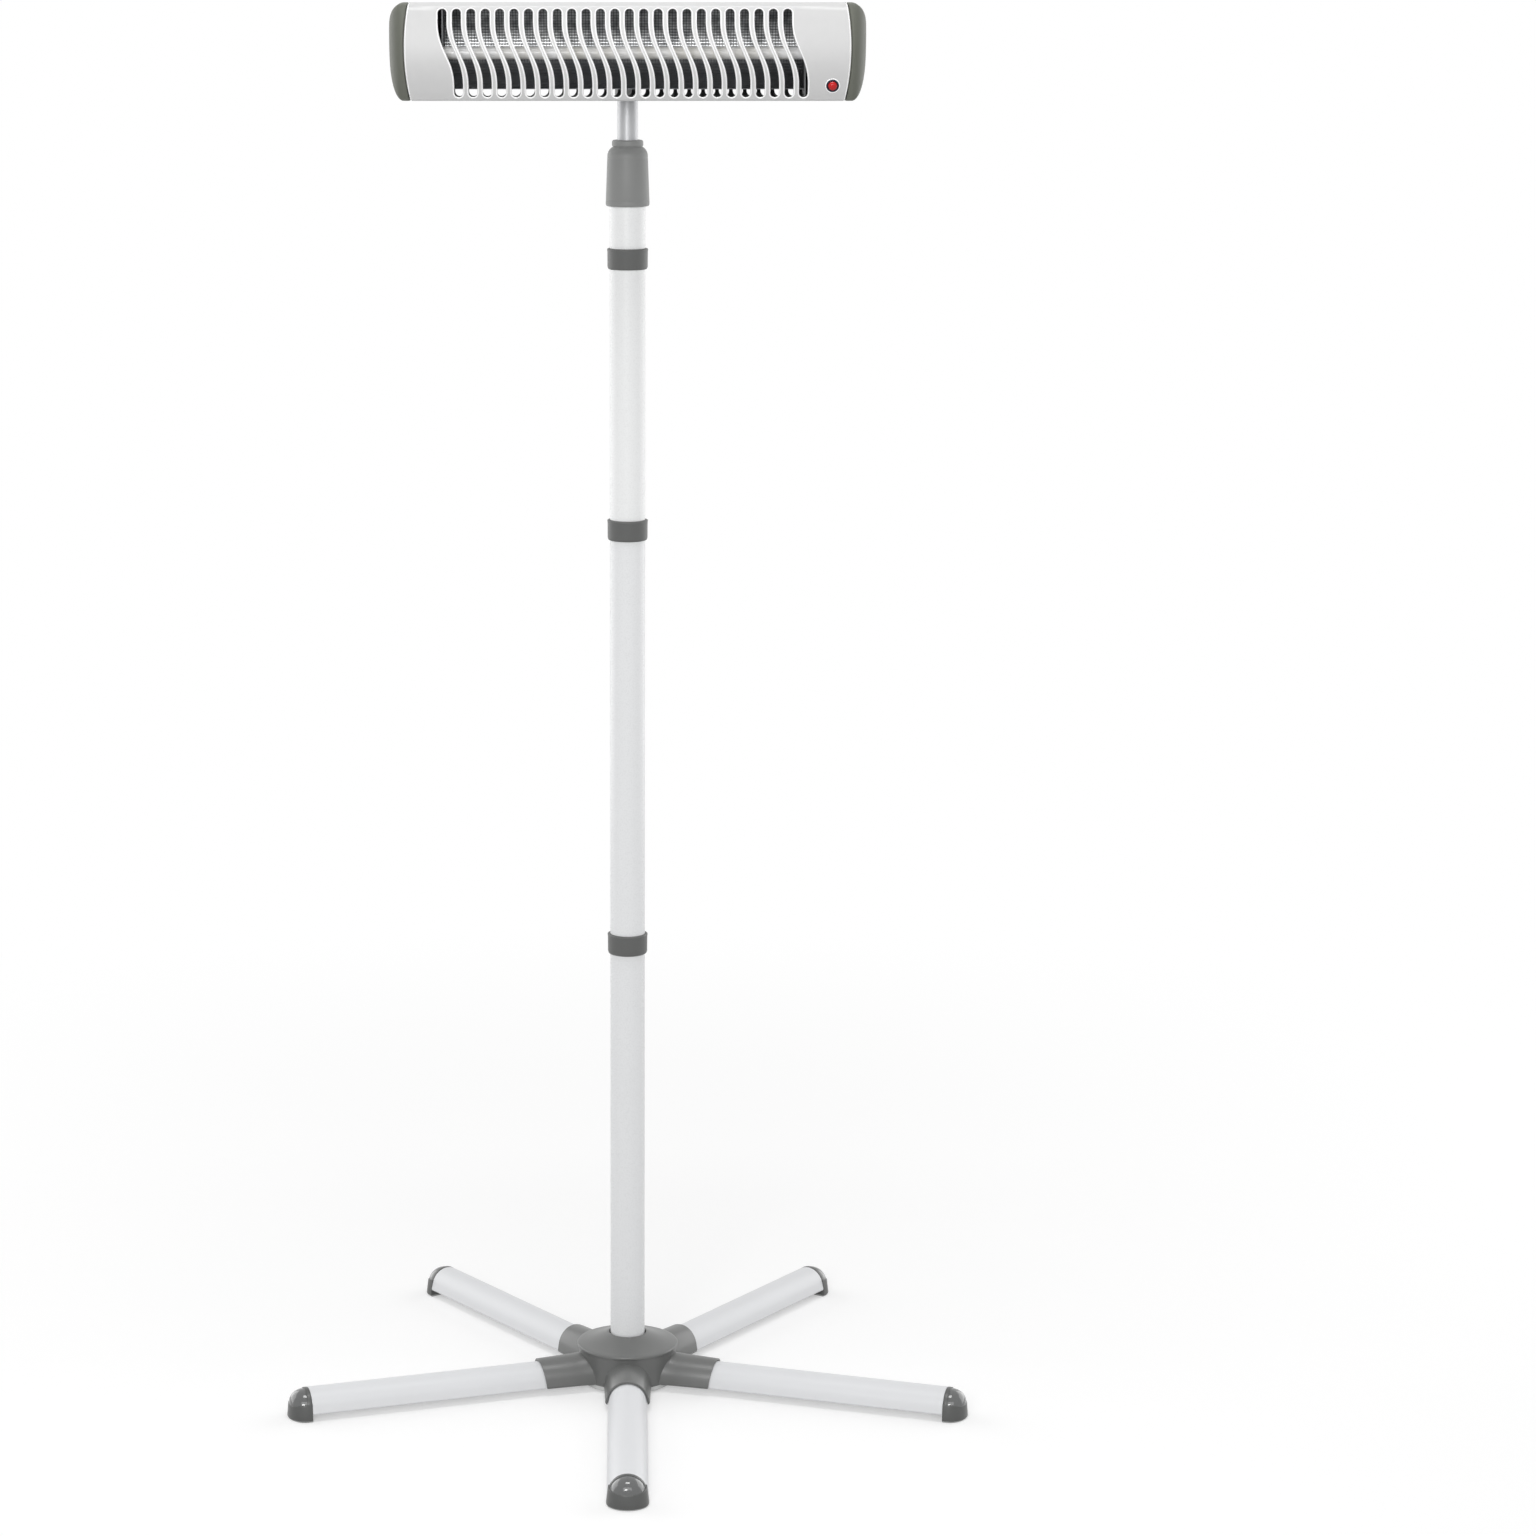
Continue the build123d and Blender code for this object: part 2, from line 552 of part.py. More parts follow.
def coupler(name, bottom):
    """Collar between two tubes, with a bored spigot up and down."""
    top = bottom + COLLAR_HEIGHT
    with BuildPart() as joint:
        with BuildSketch(MAST_SECTION):
            add(turned([
                (SPIGOT_BORE, bottom - SPIGOT_LENGTH),
                (SPIGOT_RADIUS - 1, bottom - SPIGOT_LENGTH),
                (SPIGOT_RADIUS, bottom - SPIGOT_LENGTH + 2),
                (SPIGOT_RADIUS, bottom),
                (COLLAR_RADIUS - COLLAR_CHAMFER, bottom),
                (COLLAR_RADIUS - COLLAR_LIP, bottom + COLLAR_CHAMFER),
                (COLLAR_RADIUS - COLLAR_LIP / 2, top - COLLAR_CHAMFER),
                (COLLAR_RADIUS, top - COLLAR_LIP),
                (COLLAR_RADIUS - COLLAR_LIP, top),
                (SPIGOT_RADIUS, top),
                (SPIGOT_RADIUS, top + SPIGOT_LENGTH - 2),
                (SPIGOT_RADIUS - 1, top + SPIGOT_LENGTH),
                (SPIGOT_BORE, top + SPIGOT_LENGTH),
            ]))
        revolve(axis=MAST_AXIS)
    save(joint, name)


mast_tube("mast_tube_lower", HUB_FLOOR, COLLAR_LOWER_Z)
mast_tube("mast_tube_middle", COLLAR_LOWER_Z + COLLAR_HEIGHT, COLLAR_MIDDLE_Z)
mast_tube("mast_tube_upper", COLLAR_MIDDLE_Z + COLLAR_HEIGHT, COLLAR_UPPER_Z)
mast_tube("mast_tube_top", COLLAR_UPPER_Z + COLLAR_HEIGHT, MAST_TOP)
coupler("coupler_lower", COLLAR_LOWER_Z)
coupler("coupler_middle", COLLAR_MIDDLE_Z)
coupler("coupler_upper", COLLAR_UPPER_Z)

COLLET_BORE = INNER_RADIUS + SLIDE_GAP
COLLET_TOP = MAST_TOP + COLLET_FLANGE + COLLET_NOSE
NOSE_FOOT_RADIUS = COLLET_BORE + NOSE_WALL_FOOT
NOSE_TOP_RADIUS = COLLET_BORE + NOSE_WALL_TOP

with BuildPart() as clamp_collet:
    with BuildSketch(MAST_SECTION):
        add(turned([
            (COLLET_BORE, MAST_TOP - COLLET_SEAT),
            (SPIGOT_RADIUS, MAST_TOP - COLLET_SEAT),
            (SPIGOT_RADIUS, MAST_TOP),
            (MAST_RADIUS - SEAT_GAP, MAST_TOP),
            (MAST_RADIUS - SEAT_GAP, MAST_TOP + COLLET_FLANGE),
            (NOSE_FOOT_RADIUS, MAST_TOP + COLLET_FLANGE),
            (NOSE_TOP_RADIUS, COLLET_TOP),
            (COLLET_BORE, COLLET_TOP),
        ]))
    revolve(axis=MAST_AXIS)
    with BuildSketch(level(COLLET_TOP)):
        for turn in range(COLLET_SLITS // 2):
            Rectangle(2 * MAST_RADIUS, COLLET_SLIT, rotation=turn * 360 / COLLET_SLITS)
    extrude(amount=-COLLET_NOSE * 0.9, mode=Mode.SUBTRACT)
save(clamp_collet, "clamp_collet")

CLAMP_BORE = MAST_RADIUS + SLIDE_GAP
neck_low = CLAMP_TOP - CLAMP_NECK
cavity_top = COLLET_TOP + SLIDE_GAP
flange_top = MAST_TOP + COLLET_FLANGE + SLIDE_GAP

with BuildPart() as clamp_sleeve:
    with BuildSketch(MAST_SECTION):
        with BuildLine():
            neck_side = CLAMP_NECK_RADIUS
            waist = neck_side - CLAMP_WAIST
            shoulder_z = CLAMP_TOP - CLAMP_SHOULDER
            Polyline(
                (waist, neck_low - 1),
                (neck_side, neck_low),
                (neck_side, CLAMP_TOP - CLAMP_NECK_EDGE),
                (neck_side - CLAMP_NECK_EDGE, CLAMP_TOP),
                (INNER_RADIUS + SLIDE_GAP, CLAMP_TOP),
                (INNER_RADIUS + SLIDE_GAP, cavity_top),
                (NOSE_TOP_RADIUS + SLIDE_GAP, cavity_top),
                (NOSE_FOOT_RADIUS + SLIDE_GAP, flange_top),
                (CLAMP_BORE, flange_top),
                (CLAMP_BORE, CLAMP_Z),
                (CLAMP_FOOT_RADIUS - CLAMP_FOOT_EDGE, CLAMP_Z),
                (CLAMP_FOOT_RADIUS, CLAMP_Z + CLAMP_FOOT_EDGE),
                (CLAMP_SHOULDER_RADIUS, shoulder_z),
            )
            ThreePointArc(
                (CLAMP_SHOULDER_RADIUS, shoulder_z),
                (CLAMP_SHOULDER_RADIUS - 1.4, shoulder_z + 5.5),
                (waist, neck_low - 1),
            )
        make_face()
    revolve(axis=MAST_AXIS)
save(clamp_sleeve, "clamp_sleeve")

# ---------------------------------------------------------------- inner mast and tilt joint

INNER_BOTTOM = MAST_TOP - INNER_DEPTH
INNER_TOP = HEAD_Z - FITTING_DROP - 3
INNER_BORE = INNER_RADIUS - INNER_WALL

with BuildPart() as inner_tube:
    with BuildSketch(level(INNER_BOTTOM)):
        Circle(INNER_RADIUS)
        Circle(INNER_BORE, mode=Mode.SUBTRACT)
    extrude(amount=INNER_TOP - INNER_BOTTOM)
save(inner_tube, "inner_tube")

with BuildPart() as inner_tube_glide:
    with BuildSketch(MAST_SECTION):
        add(turned([
            (0, INNER_BOTTOM - 4),
            (SPIGOT_BORE - SLIDE_GAP - 1, INNER_BOTTOM - 4),
            (SPIGOT_BORE - SLIDE_GAP, INNER_BOTTOM - 3),
            (SPIGOT_BORE - SLIDE_GAP, INNER_BOTTOM),
            (INNER_BORE - SEAT_GAP, INNER_BOTTOM),
            (INNER_BORE - SEAT_GAP, INNER_BOTTOM + GLIDE_HEIGHT),
            (0, INNER_BOTTOM + GLIDE_HEIGHT),
        ]))
    revolve(axis=MAST_AXIS)
save(inner_tube_glide, "inner_tube_glide")

fitting_top = HEAD_Z - FITTING_DROP
ear_inside = EYE_THICKNESS / 2 + WASHER_THICKNESS + SLIDE_GAP
ear_outside = ear_inside + EAR_THICKNESS
pivot_side = Plane(origin=(0, MAST_Y, HEAD_Z), x_dir=(0, 1, 0), z_dir=(1, 0, 0))

with BuildPart() as tilt_fitting:
    with BuildSketch(level(fitting_top - FITTING_HEIGHT)):
        Circle(FITTING_RADIUS)
    extrude(amount=FITTING_HEIGHT)
    fillet(tilt_fitting.edges().group_by(Axis.Z)[-1], 2)
    with BuildSketch(pivot_side):
        Circle(EYE_RADIUS)
        with Locations((0, -FITTING_DROP / 2 - 1)):
            Rectangle(1.6 * EYE_RADIUS, FITTING_DROP + 2)
    extrude(amount=EYE_THICKNESS / 2, both=True)
    with BuildSketch(pivot_side):
        Circle(PIVOT_RADIUS + PIN_GAP)
    extrude(amount=EYE_THICKNESS, both=True, mode=Mode.SUBTRACT)
    with BuildSketch(level(fitting_top - FITTING_HEIGHT)):
        Circle(INNER_RADIUS + SEAT_GAP)
    extrude(amount=INNER_TOP - fitting_top + FITTING_HEIGHT, mode=Mode.SUBTRACT)
save(tilt_fitting, "tilt_fitting")

with BuildPart() as friction_washers:
    for side in (-1, 1):
        with BuildSketch(pivot_side.offset(side * (EYE_THICKNESS + WASHER_THICKNESS) / 2)):
            Circle(EYE_RADIUS - 1)
            Circle(PIVOT_RADIUS + PIN_GAP, mode=Mode.SUBTRACT)
        extrude(amount=WASHER_THICKNESS / 2, both=True)
save(friction_washers, "friction_washers")

PAD_BACK = HEAD_GAP - 1.0                        # mast axis to the bracket pad
BRACKET_PITCH = BRACKET_WIDTH - 2 * BRACKET_SCREW_INSET
pad_plane = Plane(origin=(0, MAST_Y - PAD_BACK, HEAD_Z), x_dir=(-1, 0, 0), z_dir=(0, 1, 0))
with BuildPart() as tilt_bracket:
    with BuildSketch(pad_plane):
        RectangleRounded(BRACKET_WIDTH, BRACKET_HEIGHT, BRACKET_CORNER)
        with GridLocations(BRACKET_PITCH, 0, 2, 1):
            Circle(COVER_SCREW_RADIUS + SEAT_GAP, mode=Mode.SUBTRACT)
    extrude(amount=EAR_THICKNESS)
    for side in (-1, 1):
        with BuildSketch(pivot_side.offset(side * (ear_inside + EAR_THICKNESS / 2))):
            with BuildLine():
                Polyline(
                    (EAR_THICKNESS / 2 - PAD_BACK, BRACKET_HEIGHT / 2 - 2),
                    (-EAR_LENGTH, EYE_RADIUS - 2),
                    (0, EYE_RADIUS - 1),
                    (0, 1 - EYE_RADIUS),
                    (-EAR_LENGTH, 2.5 - EYE_RADIUS),
                    (EAR_THICKNESS / 2 - PAD_BACK, 2 - BRACKET_HEIGHT / 2),
                    close=True,
                )
            make_face()
            Circle(EYE_RADIUS - 1)
            Circle(PIVOT_RADIUS + SEAT_GAP, mode=Mode.SUBTRACT)
        extrude(amount=EAR_THICKNESS / 2, both=True)
save(tilt_bracket, "tilt_bracket")

with BuildPart() as bracket_screws:
    with BuildSketch(pad_plane.offset(EAR_THICKNESS)):
        with GridLocations(BRACKET_PITCH, 0, 2, 1):
            Circle(COVER_SCREW_HEAD)
    extrude(amount=BRACKET_SCREW_HEIGHT)
    fillet(bracket_screws.edges().group_by(Axis.Y)[-1], 1)
    with BuildSketch(pad_plane.offset(EAR_THICKNESS)):
        with GridLocations(BRACKET_PITCH, 0, 2, 1):
            Circle(COVER_SCREW_RADIUS)
    extrude(amount=-BRACKET_SCREW_LENGTH)
save(bracket_screws, "bracket_screws")

knob_face = ear_outside + WASHER_THICKNESS
with BuildPart() as pivot_bolt:
    with BuildSketch(pivot_side.offset(-ear_outside - PIVOT_HEAD_HEIGHT)):
        Circle(PIVOT_HEAD)
    extrude(amount=PIVOT_HEAD_HEIGHT)
    fillet(pivot_bolt.edges().group_by(Axis.X)[0], 1.5)
    with BuildSketch(pivot_side.offset(-ear_outside)):
        Circle(PIVOT_RADIUS)
    extrude(amount=ear_outside + knob_face + KNOB_HEIGHT - KNOB_END - PIN_END_GAP)
save(pivot_bolt, "pivot_bolt")

with BuildPart() as knob_washer:
    with BuildSketch(pivot_side.offset(ear_outside)):
        Circle(PIVOT_HEAD + 1)
        Circle(PIVOT_RADIUS + SEAT_GAP, mode=Mode.SUBTRACT)
    extrude(amount=WASHER_THICKNESS - SLIDE_GAP)
save(knob_washer, "knob_washer")

with BuildPart() as tilt_knob:
    with BuildSketch(pivot_side.offset(knob_face)):
        Circle(KNOB_RADIUS - KNOB_WAIST)
        with PolarLocations(KNOB_RADIUS - KNOB_LOBE_RADIUS, KNOB_LOBES):
            Circle(KNOB_LOBE_RADIUS)
    extrude(amount=KNOB_HEIGHT)
    fillet(tilt_knob.edges().group_by(Axis.X)[-1], 1.5)
    with BuildSketch(pivot_side.offset(knob_face)):
        Circle(PIVOT_RADIUS + PIN_GAP)
    extrude(amount=KNOB_HEIGHT - KNOB_END, mode=Mode.SUBTRACT)
save(tilt_knob, "tilt_knob")

# ---------------------------------------------------------------- heater head


def front_outline():
    """Closed side outline of the casing: bulged face, two bevels, flat top and bottom."""
    face = FACE_HEIGHT / 2
    flank = FACE_BULGE - FRONT_DEPTH
    bevel = flank + BEVEL_DEPTH
    with BuildSketch() as section:
        with BuildLine():
            ThreePointArc((flank, face), (-FRONT_DEPTH, 0), (flank, -face))
            Line((flank, -face), (bevel, TOP_FALL - HALF_HEIGHT))
            Line((bevel, TOP_FALL - HALF_HEIGHT), (0, -HALF_HEIGHT))
            Line((0, -HALF_HEIGHT), (0, HALF_HEIGHT))
            Line((0, HALF_HEIGHT), (bevel, HALF_HEIGHT - TOP_FALL))
            Line((bevel, HALF_HEIGHT - TOP_FALL), (flank, face))
        make_face()
    return section.sketch


def rear_outline():
    """Closed side outline of the rear cover: one round back."""
    with BuildSketch() as section:
        with BuildLine():
            ThreePointArc((0, -HALF_HEIGHT), (REAR_DEPTH, 0), (0, HALF_HEIGHT))
            Line((0, HALF_HEIGHT), (0, -HALF_HEIGHT))
        make_face()
    return section.sketch


def between_seams(gap):
    """Front view of what lies between the two curved end seams."""
    top, middle, bottom = SEAM_TOP - gap, SEAM_MIDDLE - gap, SEAM_BOTTOM - gap
    with BuildSketch() as section:
        with BuildLine():
            ThreePointArc((top, HALF_HEIGHT), (middle, 0), (bottom, -HALF_HEIGHT))
            Line((bottom, -HALF_HEIGHT), (-bottom, -HALF_HEIGHT))
            ThreePointArc((-bottom, -HALF_HEIGHT), (-middle, 0), (-top, HALF_HEIGHT))
            Line((-top, HALF_HEIGHT), (top, HALF_HEIGHT))
        make_face()
    return section.sketch


def s_slot():
    """Face of one S-shaped slot: upright, slanting and upright again, with round ends."""
    half_run = (SLOT_HEIGHT - SLOT_WIDTH) / 2
    slant = radians(SLOT_SLANT)
    slant_run = (SLOT_SHIFT - 2 * SLOT_BEND_RADIUS * (1 - cos(slant))) / sin(slant)
    bend_height = SLOT_BEND_RADIUS * sin(slant) + slant_run / 2 * cos(slant)
    with BuildSketch() as section:
        with BuildLine():
            drop = Line((-SLOT_SHIFT / 2, half_run), (-SLOT_SHIFT / 2, bend_height))
            bend = JernArc(drop @ 1, drop % 1, SLOT_BEND_RADIUS, SLOT_SLANT)
            middle = Line(bend @ 1, bend @ 1 + (bend % 1) * slant_run)
            back = JernArc(middle @ 1, middle % 1, SLOT_BEND_RADIUS, -SLOT_SLANT)
            Line(back @ 1, (SLOT_SHIFT / 2, -half_run))
            offset(amount=SLOT_WIDTH / 2, mode=Mode.REPLACE)
        make_face()
    return section.sketch


button_slope = asin(BUTTON_DROP / FACE_RADIUS)
button_y = HEAD_Y - FRONT_DEPTH + FACE_RADIUS * (1 - cos(button_slope))
button_normal = Vector(0, -cos(button_slope), -sin(button_slope))
button_centre = (BUTTON_PLACE, button_y, HEAD_Z - BUTTON_DROP)
BUTTON_FACE = Plane(origin=button_centre, x_dir=(1, 0, 0), z_dir=button_normal)

SLOT_FACE = s_slot()
with BuildPart() as front_casing:
    with BuildSketch(head_side(-HEAD_LENGTH / 2)):
        add(front_outline())
        offset(amount=-CASING_WALL, mode=Mode.SUBTRACT)
        Rectangle(2 * CASING_WALL + 1, HEAD_HEIGHT - 2 * CASING_WALL, mode=Mode.SUBTRACT)
    extrude(amount=HEAD_LENGTH)
    with BuildSketch(head_front()):
        with GridLocations(2 * COVER_SCREW_PLACE, HEAD_HEIGHT - TAB_DROP - CASING_WALL, 2, 2):
            Rectangle(TAB_WIDTH, TAB_DROP)
        with GridLocations(2 * COVER_SCREW_PLACE, 2 * COVER_SCREW_RISE, 2, 2):
            Circle(COVER_SCREW_RADIUS + SEAT_GAP, mode=Mode.SUBTRACT)
    extrude(amount=CASING_WALL)
    with BuildSketch(head_front()):
        add(between_seams(SEAM_GAP))
    extrude(amount=FRONT_DEPTH, mode=Mode.INTERSECT)
    with BuildSketch(head_front(FACE_BULGE + BEVEL_DEPTH / 2 - FRONT_DEPTH)):
        with Locations((SLOT_OFFSET, -SLOT_DROP)):
            with GridLocations(SLOT_PITCH, 0, SLOT_COUNT, 1):
                add(SLOT_FACE)
    extrude(amount=FRONT_DEPTH, mode=Mode.SUBTRACT)
    with BuildSketch(BUTTON_FACE):
        Circle(BEZEL_BODY_RADIUS + SEAT_GAP)
    extrude(amount=FACE_BULGE, both=True, mode=Mode.SUBTRACT)
save(front_casing, "front_casing")


def whole_outline(scale=1.0):
    """Side outline of the complete head, shrunk towards a point a little above its middle."""
    face = FACE_HEIGHT / 2
    flank = FACE_BULGE - FRONT_DEPTH
    bevel = flank + BEVEL_DEPTH
    shoulder = HALF_HEIGHT - TOP_FALL
    rise = CAP_RISE * (1 - scale)

    def spot(back, up):
        return (back * scale, up * scale + rise)

    with BuildSketch() as section:
        with BuildLine():
            ThreePointArc(spot(flank, face), spot(-FRONT_DEPTH, 0), spot(flank, -face))
            Line(spot(flank, -face), spot(bevel, -shoulder))
            Line(spot(bevel, -shoulder), spot(0, -HALF_HEIGHT))
            ThreePointArc(spot(0, -HALF_HEIGHT), spot(REAR_DEPTH, 0), spot(0, HALF_HEIGHT))
            Line(spot(0, HALF_HEIGHT), spot(bevel, shoulder))
            Line(spot(bevel, shoulder), spot(flank, face))
        make_face()
    return section.sketch


TONGUE_REACH = COVER_SCREW_PLACE - TAB_WIDTH / 2 - TONGUE_GAP
TONGUE_MIDDLE = HALF_HEIGHT - CASING_WALL - TONGUE_GAP - COVER_WALL / 2

with BuildPart() as rear_cover:
    with BuildSketch(head_front()):
        with GridLocations(2 * COVER_SCREW_PLACE, 2 * COVER_SCREW_RISE, 2, 2):
            Circle(POST_RADIUS)
    extrude(amount=-REAR_DEPTH)
    with BuildSketch(head_front(REAR_DEPTH - PAD_SEAT_DEPTH)):
        RectangleRounded(BRACKET_WIDTH - 2 * PAD_SEAT_MARGIN, BRACKET_HEIGHT, BRACKET_CORNER)
    extrude(amount=-PAD_SEAT_DEPTH)
    with BuildSketch(head_side(-HEAD_LENGTH / 2)):
        add(rear_outline())
    extrude(amount=HEAD_LENGTH, mode=Mode.INTERSECT)
    with BuildSketch(head_side(-HEAD_LENGTH / 2)):
        add(rear_outline())
        offset(amount=-COVER_WALL, mode=Mode.SUBTRACT)
        Rectangle(2 * COVER_WALL + 1, HEAD_HEIGHT - 2 * COVER_WALL, mode=Mode.SUBTRACT)
    extrude(amount=HEAD_LENGTH)
    with BuildSketch(head_front()):
        add(between_seams(SEAM_GAP))
    extrude(amount=-REAR_DEPTH, mode=Mode.INTERSECT)
    with BuildSketch(head_front(REAR_DEPTH - PAD_SEAT_DEPTH)):
        RectangleRounded(BRACKET_WIDTH - 2 * PAD_SEAT_MARGIN, BRACKET_HEIGHT, BRACKET_CORNER)
    extrude(amount=PAD_BACK - PAD_SEAT_DEPTH - HEAD_GAP)
    with BuildSketch(head_side(-TONGUE_REACH)):
        with Locations(((COVER_WALL - TONGUE) / 2, 0)):
            with GridLocations(0, 2 * TONGUE_MIDDLE, 1, 2):
                Rectangle(TONGUE + COVER_WALL, COVER_WALL)
    extrude(amount=2 * TONGUE_REACH)
    with BuildSketch(head_front(POST_SEAT)):
        with GridLocations(2 * COVER_SCREW_PLACE, 2 * COVER_SCREW_RISE, 2, 2):
            Circle(COVER_SCREW_HEAD + SLIDE_GAP)
    extrude(amount=-REAR_DEPTH, mode=Mode.SUBTRACT)
    with BuildSketch(head_front()):
        with GridLocations(2 * COVER_SCREW_PLACE, 2 * COVER_SCREW_RISE, 2, 2):
            Circle(COVER_SCREW_RADIUS + SEAT_GAP)
        with GridLocations(BRACKET_PITCH, 0, 2, 1):
            Circle(COVER_SCREW_RADIUS + SEAT_GAP)
        with Locations((INLET_PLACE, 0)):
            Circle(INLET_RADIUS)
        with Locations((VENT_PHASE, (VENT_LOW + VENT_HIGH) / 2)):
            with GridLocations(VENT_PITCH, 0, VENT_COUNT, 1):
                SlotOverall(VENT_HIGH - VENT_LOW, VENT_WIDTH, rotation=90)
    extrude(amount=-2 * REAR_DEPTH, mode=Mode.SUBTRACT)
save(rear_cover, "rear_cover")

for side, name in ((-1, "end_cap_left"), (1, "end_cap_right")):
    with BuildPart() as end_cap:
        with BuildSketch(head_side(side * (SEAM_BOTTOM - CAP_SPIGOT))):
            add(whole_outline())
        extrude(amount=side * (SEAM_MIDDLE - SEAM_BOTTOM + CAP_SPIGOT))
        for turn in (0, *CAP_STEPS):
            reach = side * (SEAM_MIDDLE + (HEAD_LENGTH / 2 - SEAM_MIDDLE) * sin(radians(turn)))
            with BuildSketch(head_side(reach)):
                add(whole_outline(cos(radians(turn)) ** CAP_ROUNDNESS))
        loft()
        with BuildSketch(head_side(side * (SEAM_BOTTOM - CAP_SPIGOT))):
            add(whole_outline())
            offset(amount=-CAP_WALL, mode=Mode.REPLACE)
        extrude(amount=side * (SEAM_MIDDLE - SEAM_BOTTOM + CAP_SPIGOT + CAP_WALL), mode=Mode.SUBTRACT)
        with BuildSketch(head_front(-FRONT_DEPTH)):
            add(between_seams(0))
        extrude(amount=-FRONT_DEPTH - REAR_DEPTH, mode=Mode.SUBTRACT)
        with BuildSketch(head_side(side * (SEAM_BOTTOM - CAP_TONGUE))):
            add(whole_outline())
            offset(amount=-COVER_WALL - SLIDE_GAP, mode=Mode.REPLACE)
            offset(amount=-COVER_WALL, mode=Mode.SUBTRACT)
        extrude(amount=side * (CAP_TONGUE + SEAM_MIDDLE - SEAM_BOTTOM + 1))
    save(end_cap, name)

with BuildPart() as cover_screws:
    with BuildSketch(head_front(POST_SEAT)):
        with GridLocations(2 * COVER_SCREW_PLACE, 2 * COVER_SCREW_RISE, 2, 2):
            Circle(COVER_SCREW_HEAD)
    extrude(amount=-COVER_SCREW_HEIGHT)
    with BuildSketch(head_front(POST_SEAT)):
        with GridLocations(2 * COVER_SCREW_PLACE, 2 * COVER_SCREW_RISE, 2, 2):
            Circle(COVER_SCREW_RADIUS)
    extrude(amount=POST_SEAT + CASING_WALL + COVER_SCREW_END)
save(cover_screws, "cover_screws")

# ---------------------------------------------------------------- heating element

with BuildPart() as reflector:
    with BuildSketch(head_side(HOLDER_LEFT)):
        middle = (REFLECTOR_TOP + REFLECTOR_BOTTOM) / 2
        back = REFLECTOR_BACK + REFLECTOR_WALL
        lip_top = (REFLECTOR_MOUTH, REFLECTOR_TOP)
        lip_bottom = (REFLECTOR_MOUTH, REFLECTOR_BOTTOM)
        with BuildLine():
            trough = ThreePointArc(lip_top, (REFLECTOR_BACK, middle), lip_bottom)
            lip_low = Line(lip_bottom, (REFLECTOR_MOUTH, REFLECTOR_BOTTOM - REFLECTOR_WALL))
            shell = ThreePointArc(
                lip_low @ 1, (back, middle), (REFLECTOR_MOUTH, REFLECTOR_TOP + REFLECTOR_WALL)
            )
            Line(shell @ 1, trough @ 0)
        make_face()
    extrude(amount=HOLDER_RIGHT - HOLDER_LEFT)
save(reflector, "reflector")

plate_depth = REFLECTOR_BACK - REFLECTOR_MOUTH + 2 * PLATE_MARGIN
casing_fall = TOP_FALL * (FLANGE_DEPTH / 2 - FLANGE_MIDDLE) / (FRONT_DEPTH - FACE_BULGE - BEVEL_DEPTH)
flange_top = HALF_HEIGHT - casing_fall - CASING_WALL - SEAT_GAP

for side, place, name in ((-1, HOLDER_LEFT, "left"), (1, HOLDER_RIGHT, "right")):
    with BuildPart() as end_plate:
        with BuildSketch(head_side(place)):
            add(whole_outline())
            offset(amount=SLIDE_GAP - HALF_HEIGHT + TONGUE_MIDDLE - COVER_WALL, mode=Mode.REPLACE)
            with Locations(((REFLECTOR_BACK + REFLECTOR_MOUTH) / 2, 0)):
                Rectangle(plate_depth, HEAD_HEIGHT, mode=Mode.INTERSECT)
            with Locations((ELEMENT_Y, -ELEMENT_DROP)):
                Circle(QUARTZ_RADIUS + SLIDE_GAP, mode=Mode.SUBTRACT)
        extrude(amount=side * HOLDER_THICKNESS)
        with BuildSketch(head_side(place)):
            with Locations((FLANGE_MIDDLE, 0)):
                with GridLocations(0, 2 * flange_top - HOLDER_THICKNESS, 1, 2):
                    Rectangle(FLANGE_DEPTH, HOLDER_THICKNESS)
        extrude(amount=side * FLANGE_REACH)
        with BuildSketch(head_side(place)):
            with Locations((FLANGE_MIDDLE, 0)):
                with GridLocations(0, 2 * flange_top - FLANGE_ROOT, 1, 2):
                    Rectangle(FLANGE_DEPTH, FLANGE_ROOT)
        extrude(amount=side * HOLDER_THICKNESS)
    save(end_plate, f"end_plate_{name}")
    with BuildPart() as ceramic_socket:
        with BuildSketch(head_side(place + side * HOLDER_THICKNESS)):
            with Locations((ELEMENT_Y, -ELEMENT_DROP)):
                Circle(CERAMIC_RADIUS)
        extrude(amount=side * CERAMIC_LENGTH)
        chamfer(ceramic_socket.edges().group_by(Axis.X)[-1 if side > 0 else 0], CERAMIC_EDGE)
        with BuildSketch(head_side(place + side * HOLDER_THICKNESS)):
            with Locations((ELEMENT_Y, -ELEMENT_DROP)):
                Circle(QUARTZ_RADIUS + SEAT_GAP)
        extrude(amount=side * (CERAMIC_LENGTH - CERAMIC_FLOOR), mode=Mode.SUBTRACT)
    save(ceramic_socket, f"ceramic_socket_{name}")

element_reach = HOLDER_THICKNESS + CERAMIC_LENGTH - CERAMIC_FLOOR - SEAT_GAP
with BuildPart() as quartz_tube:
    with BuildSketch(head_side(HOLDER_LEFT - element_reach)):
        with Locations((ELEMENT_Y, -ELEMENT_DROP)):
            Circle(QUARTZ_RADIUS)
            Circle(QUARTZ_RADIUS - QUARTZ_WALL, mode=Mode.SUBTRACT)
    extrude(amount=HOLDER_RIGHT - HOLDER_LEFT + 2 * element_reach)
save(quartz_tube, "quartz_tube")

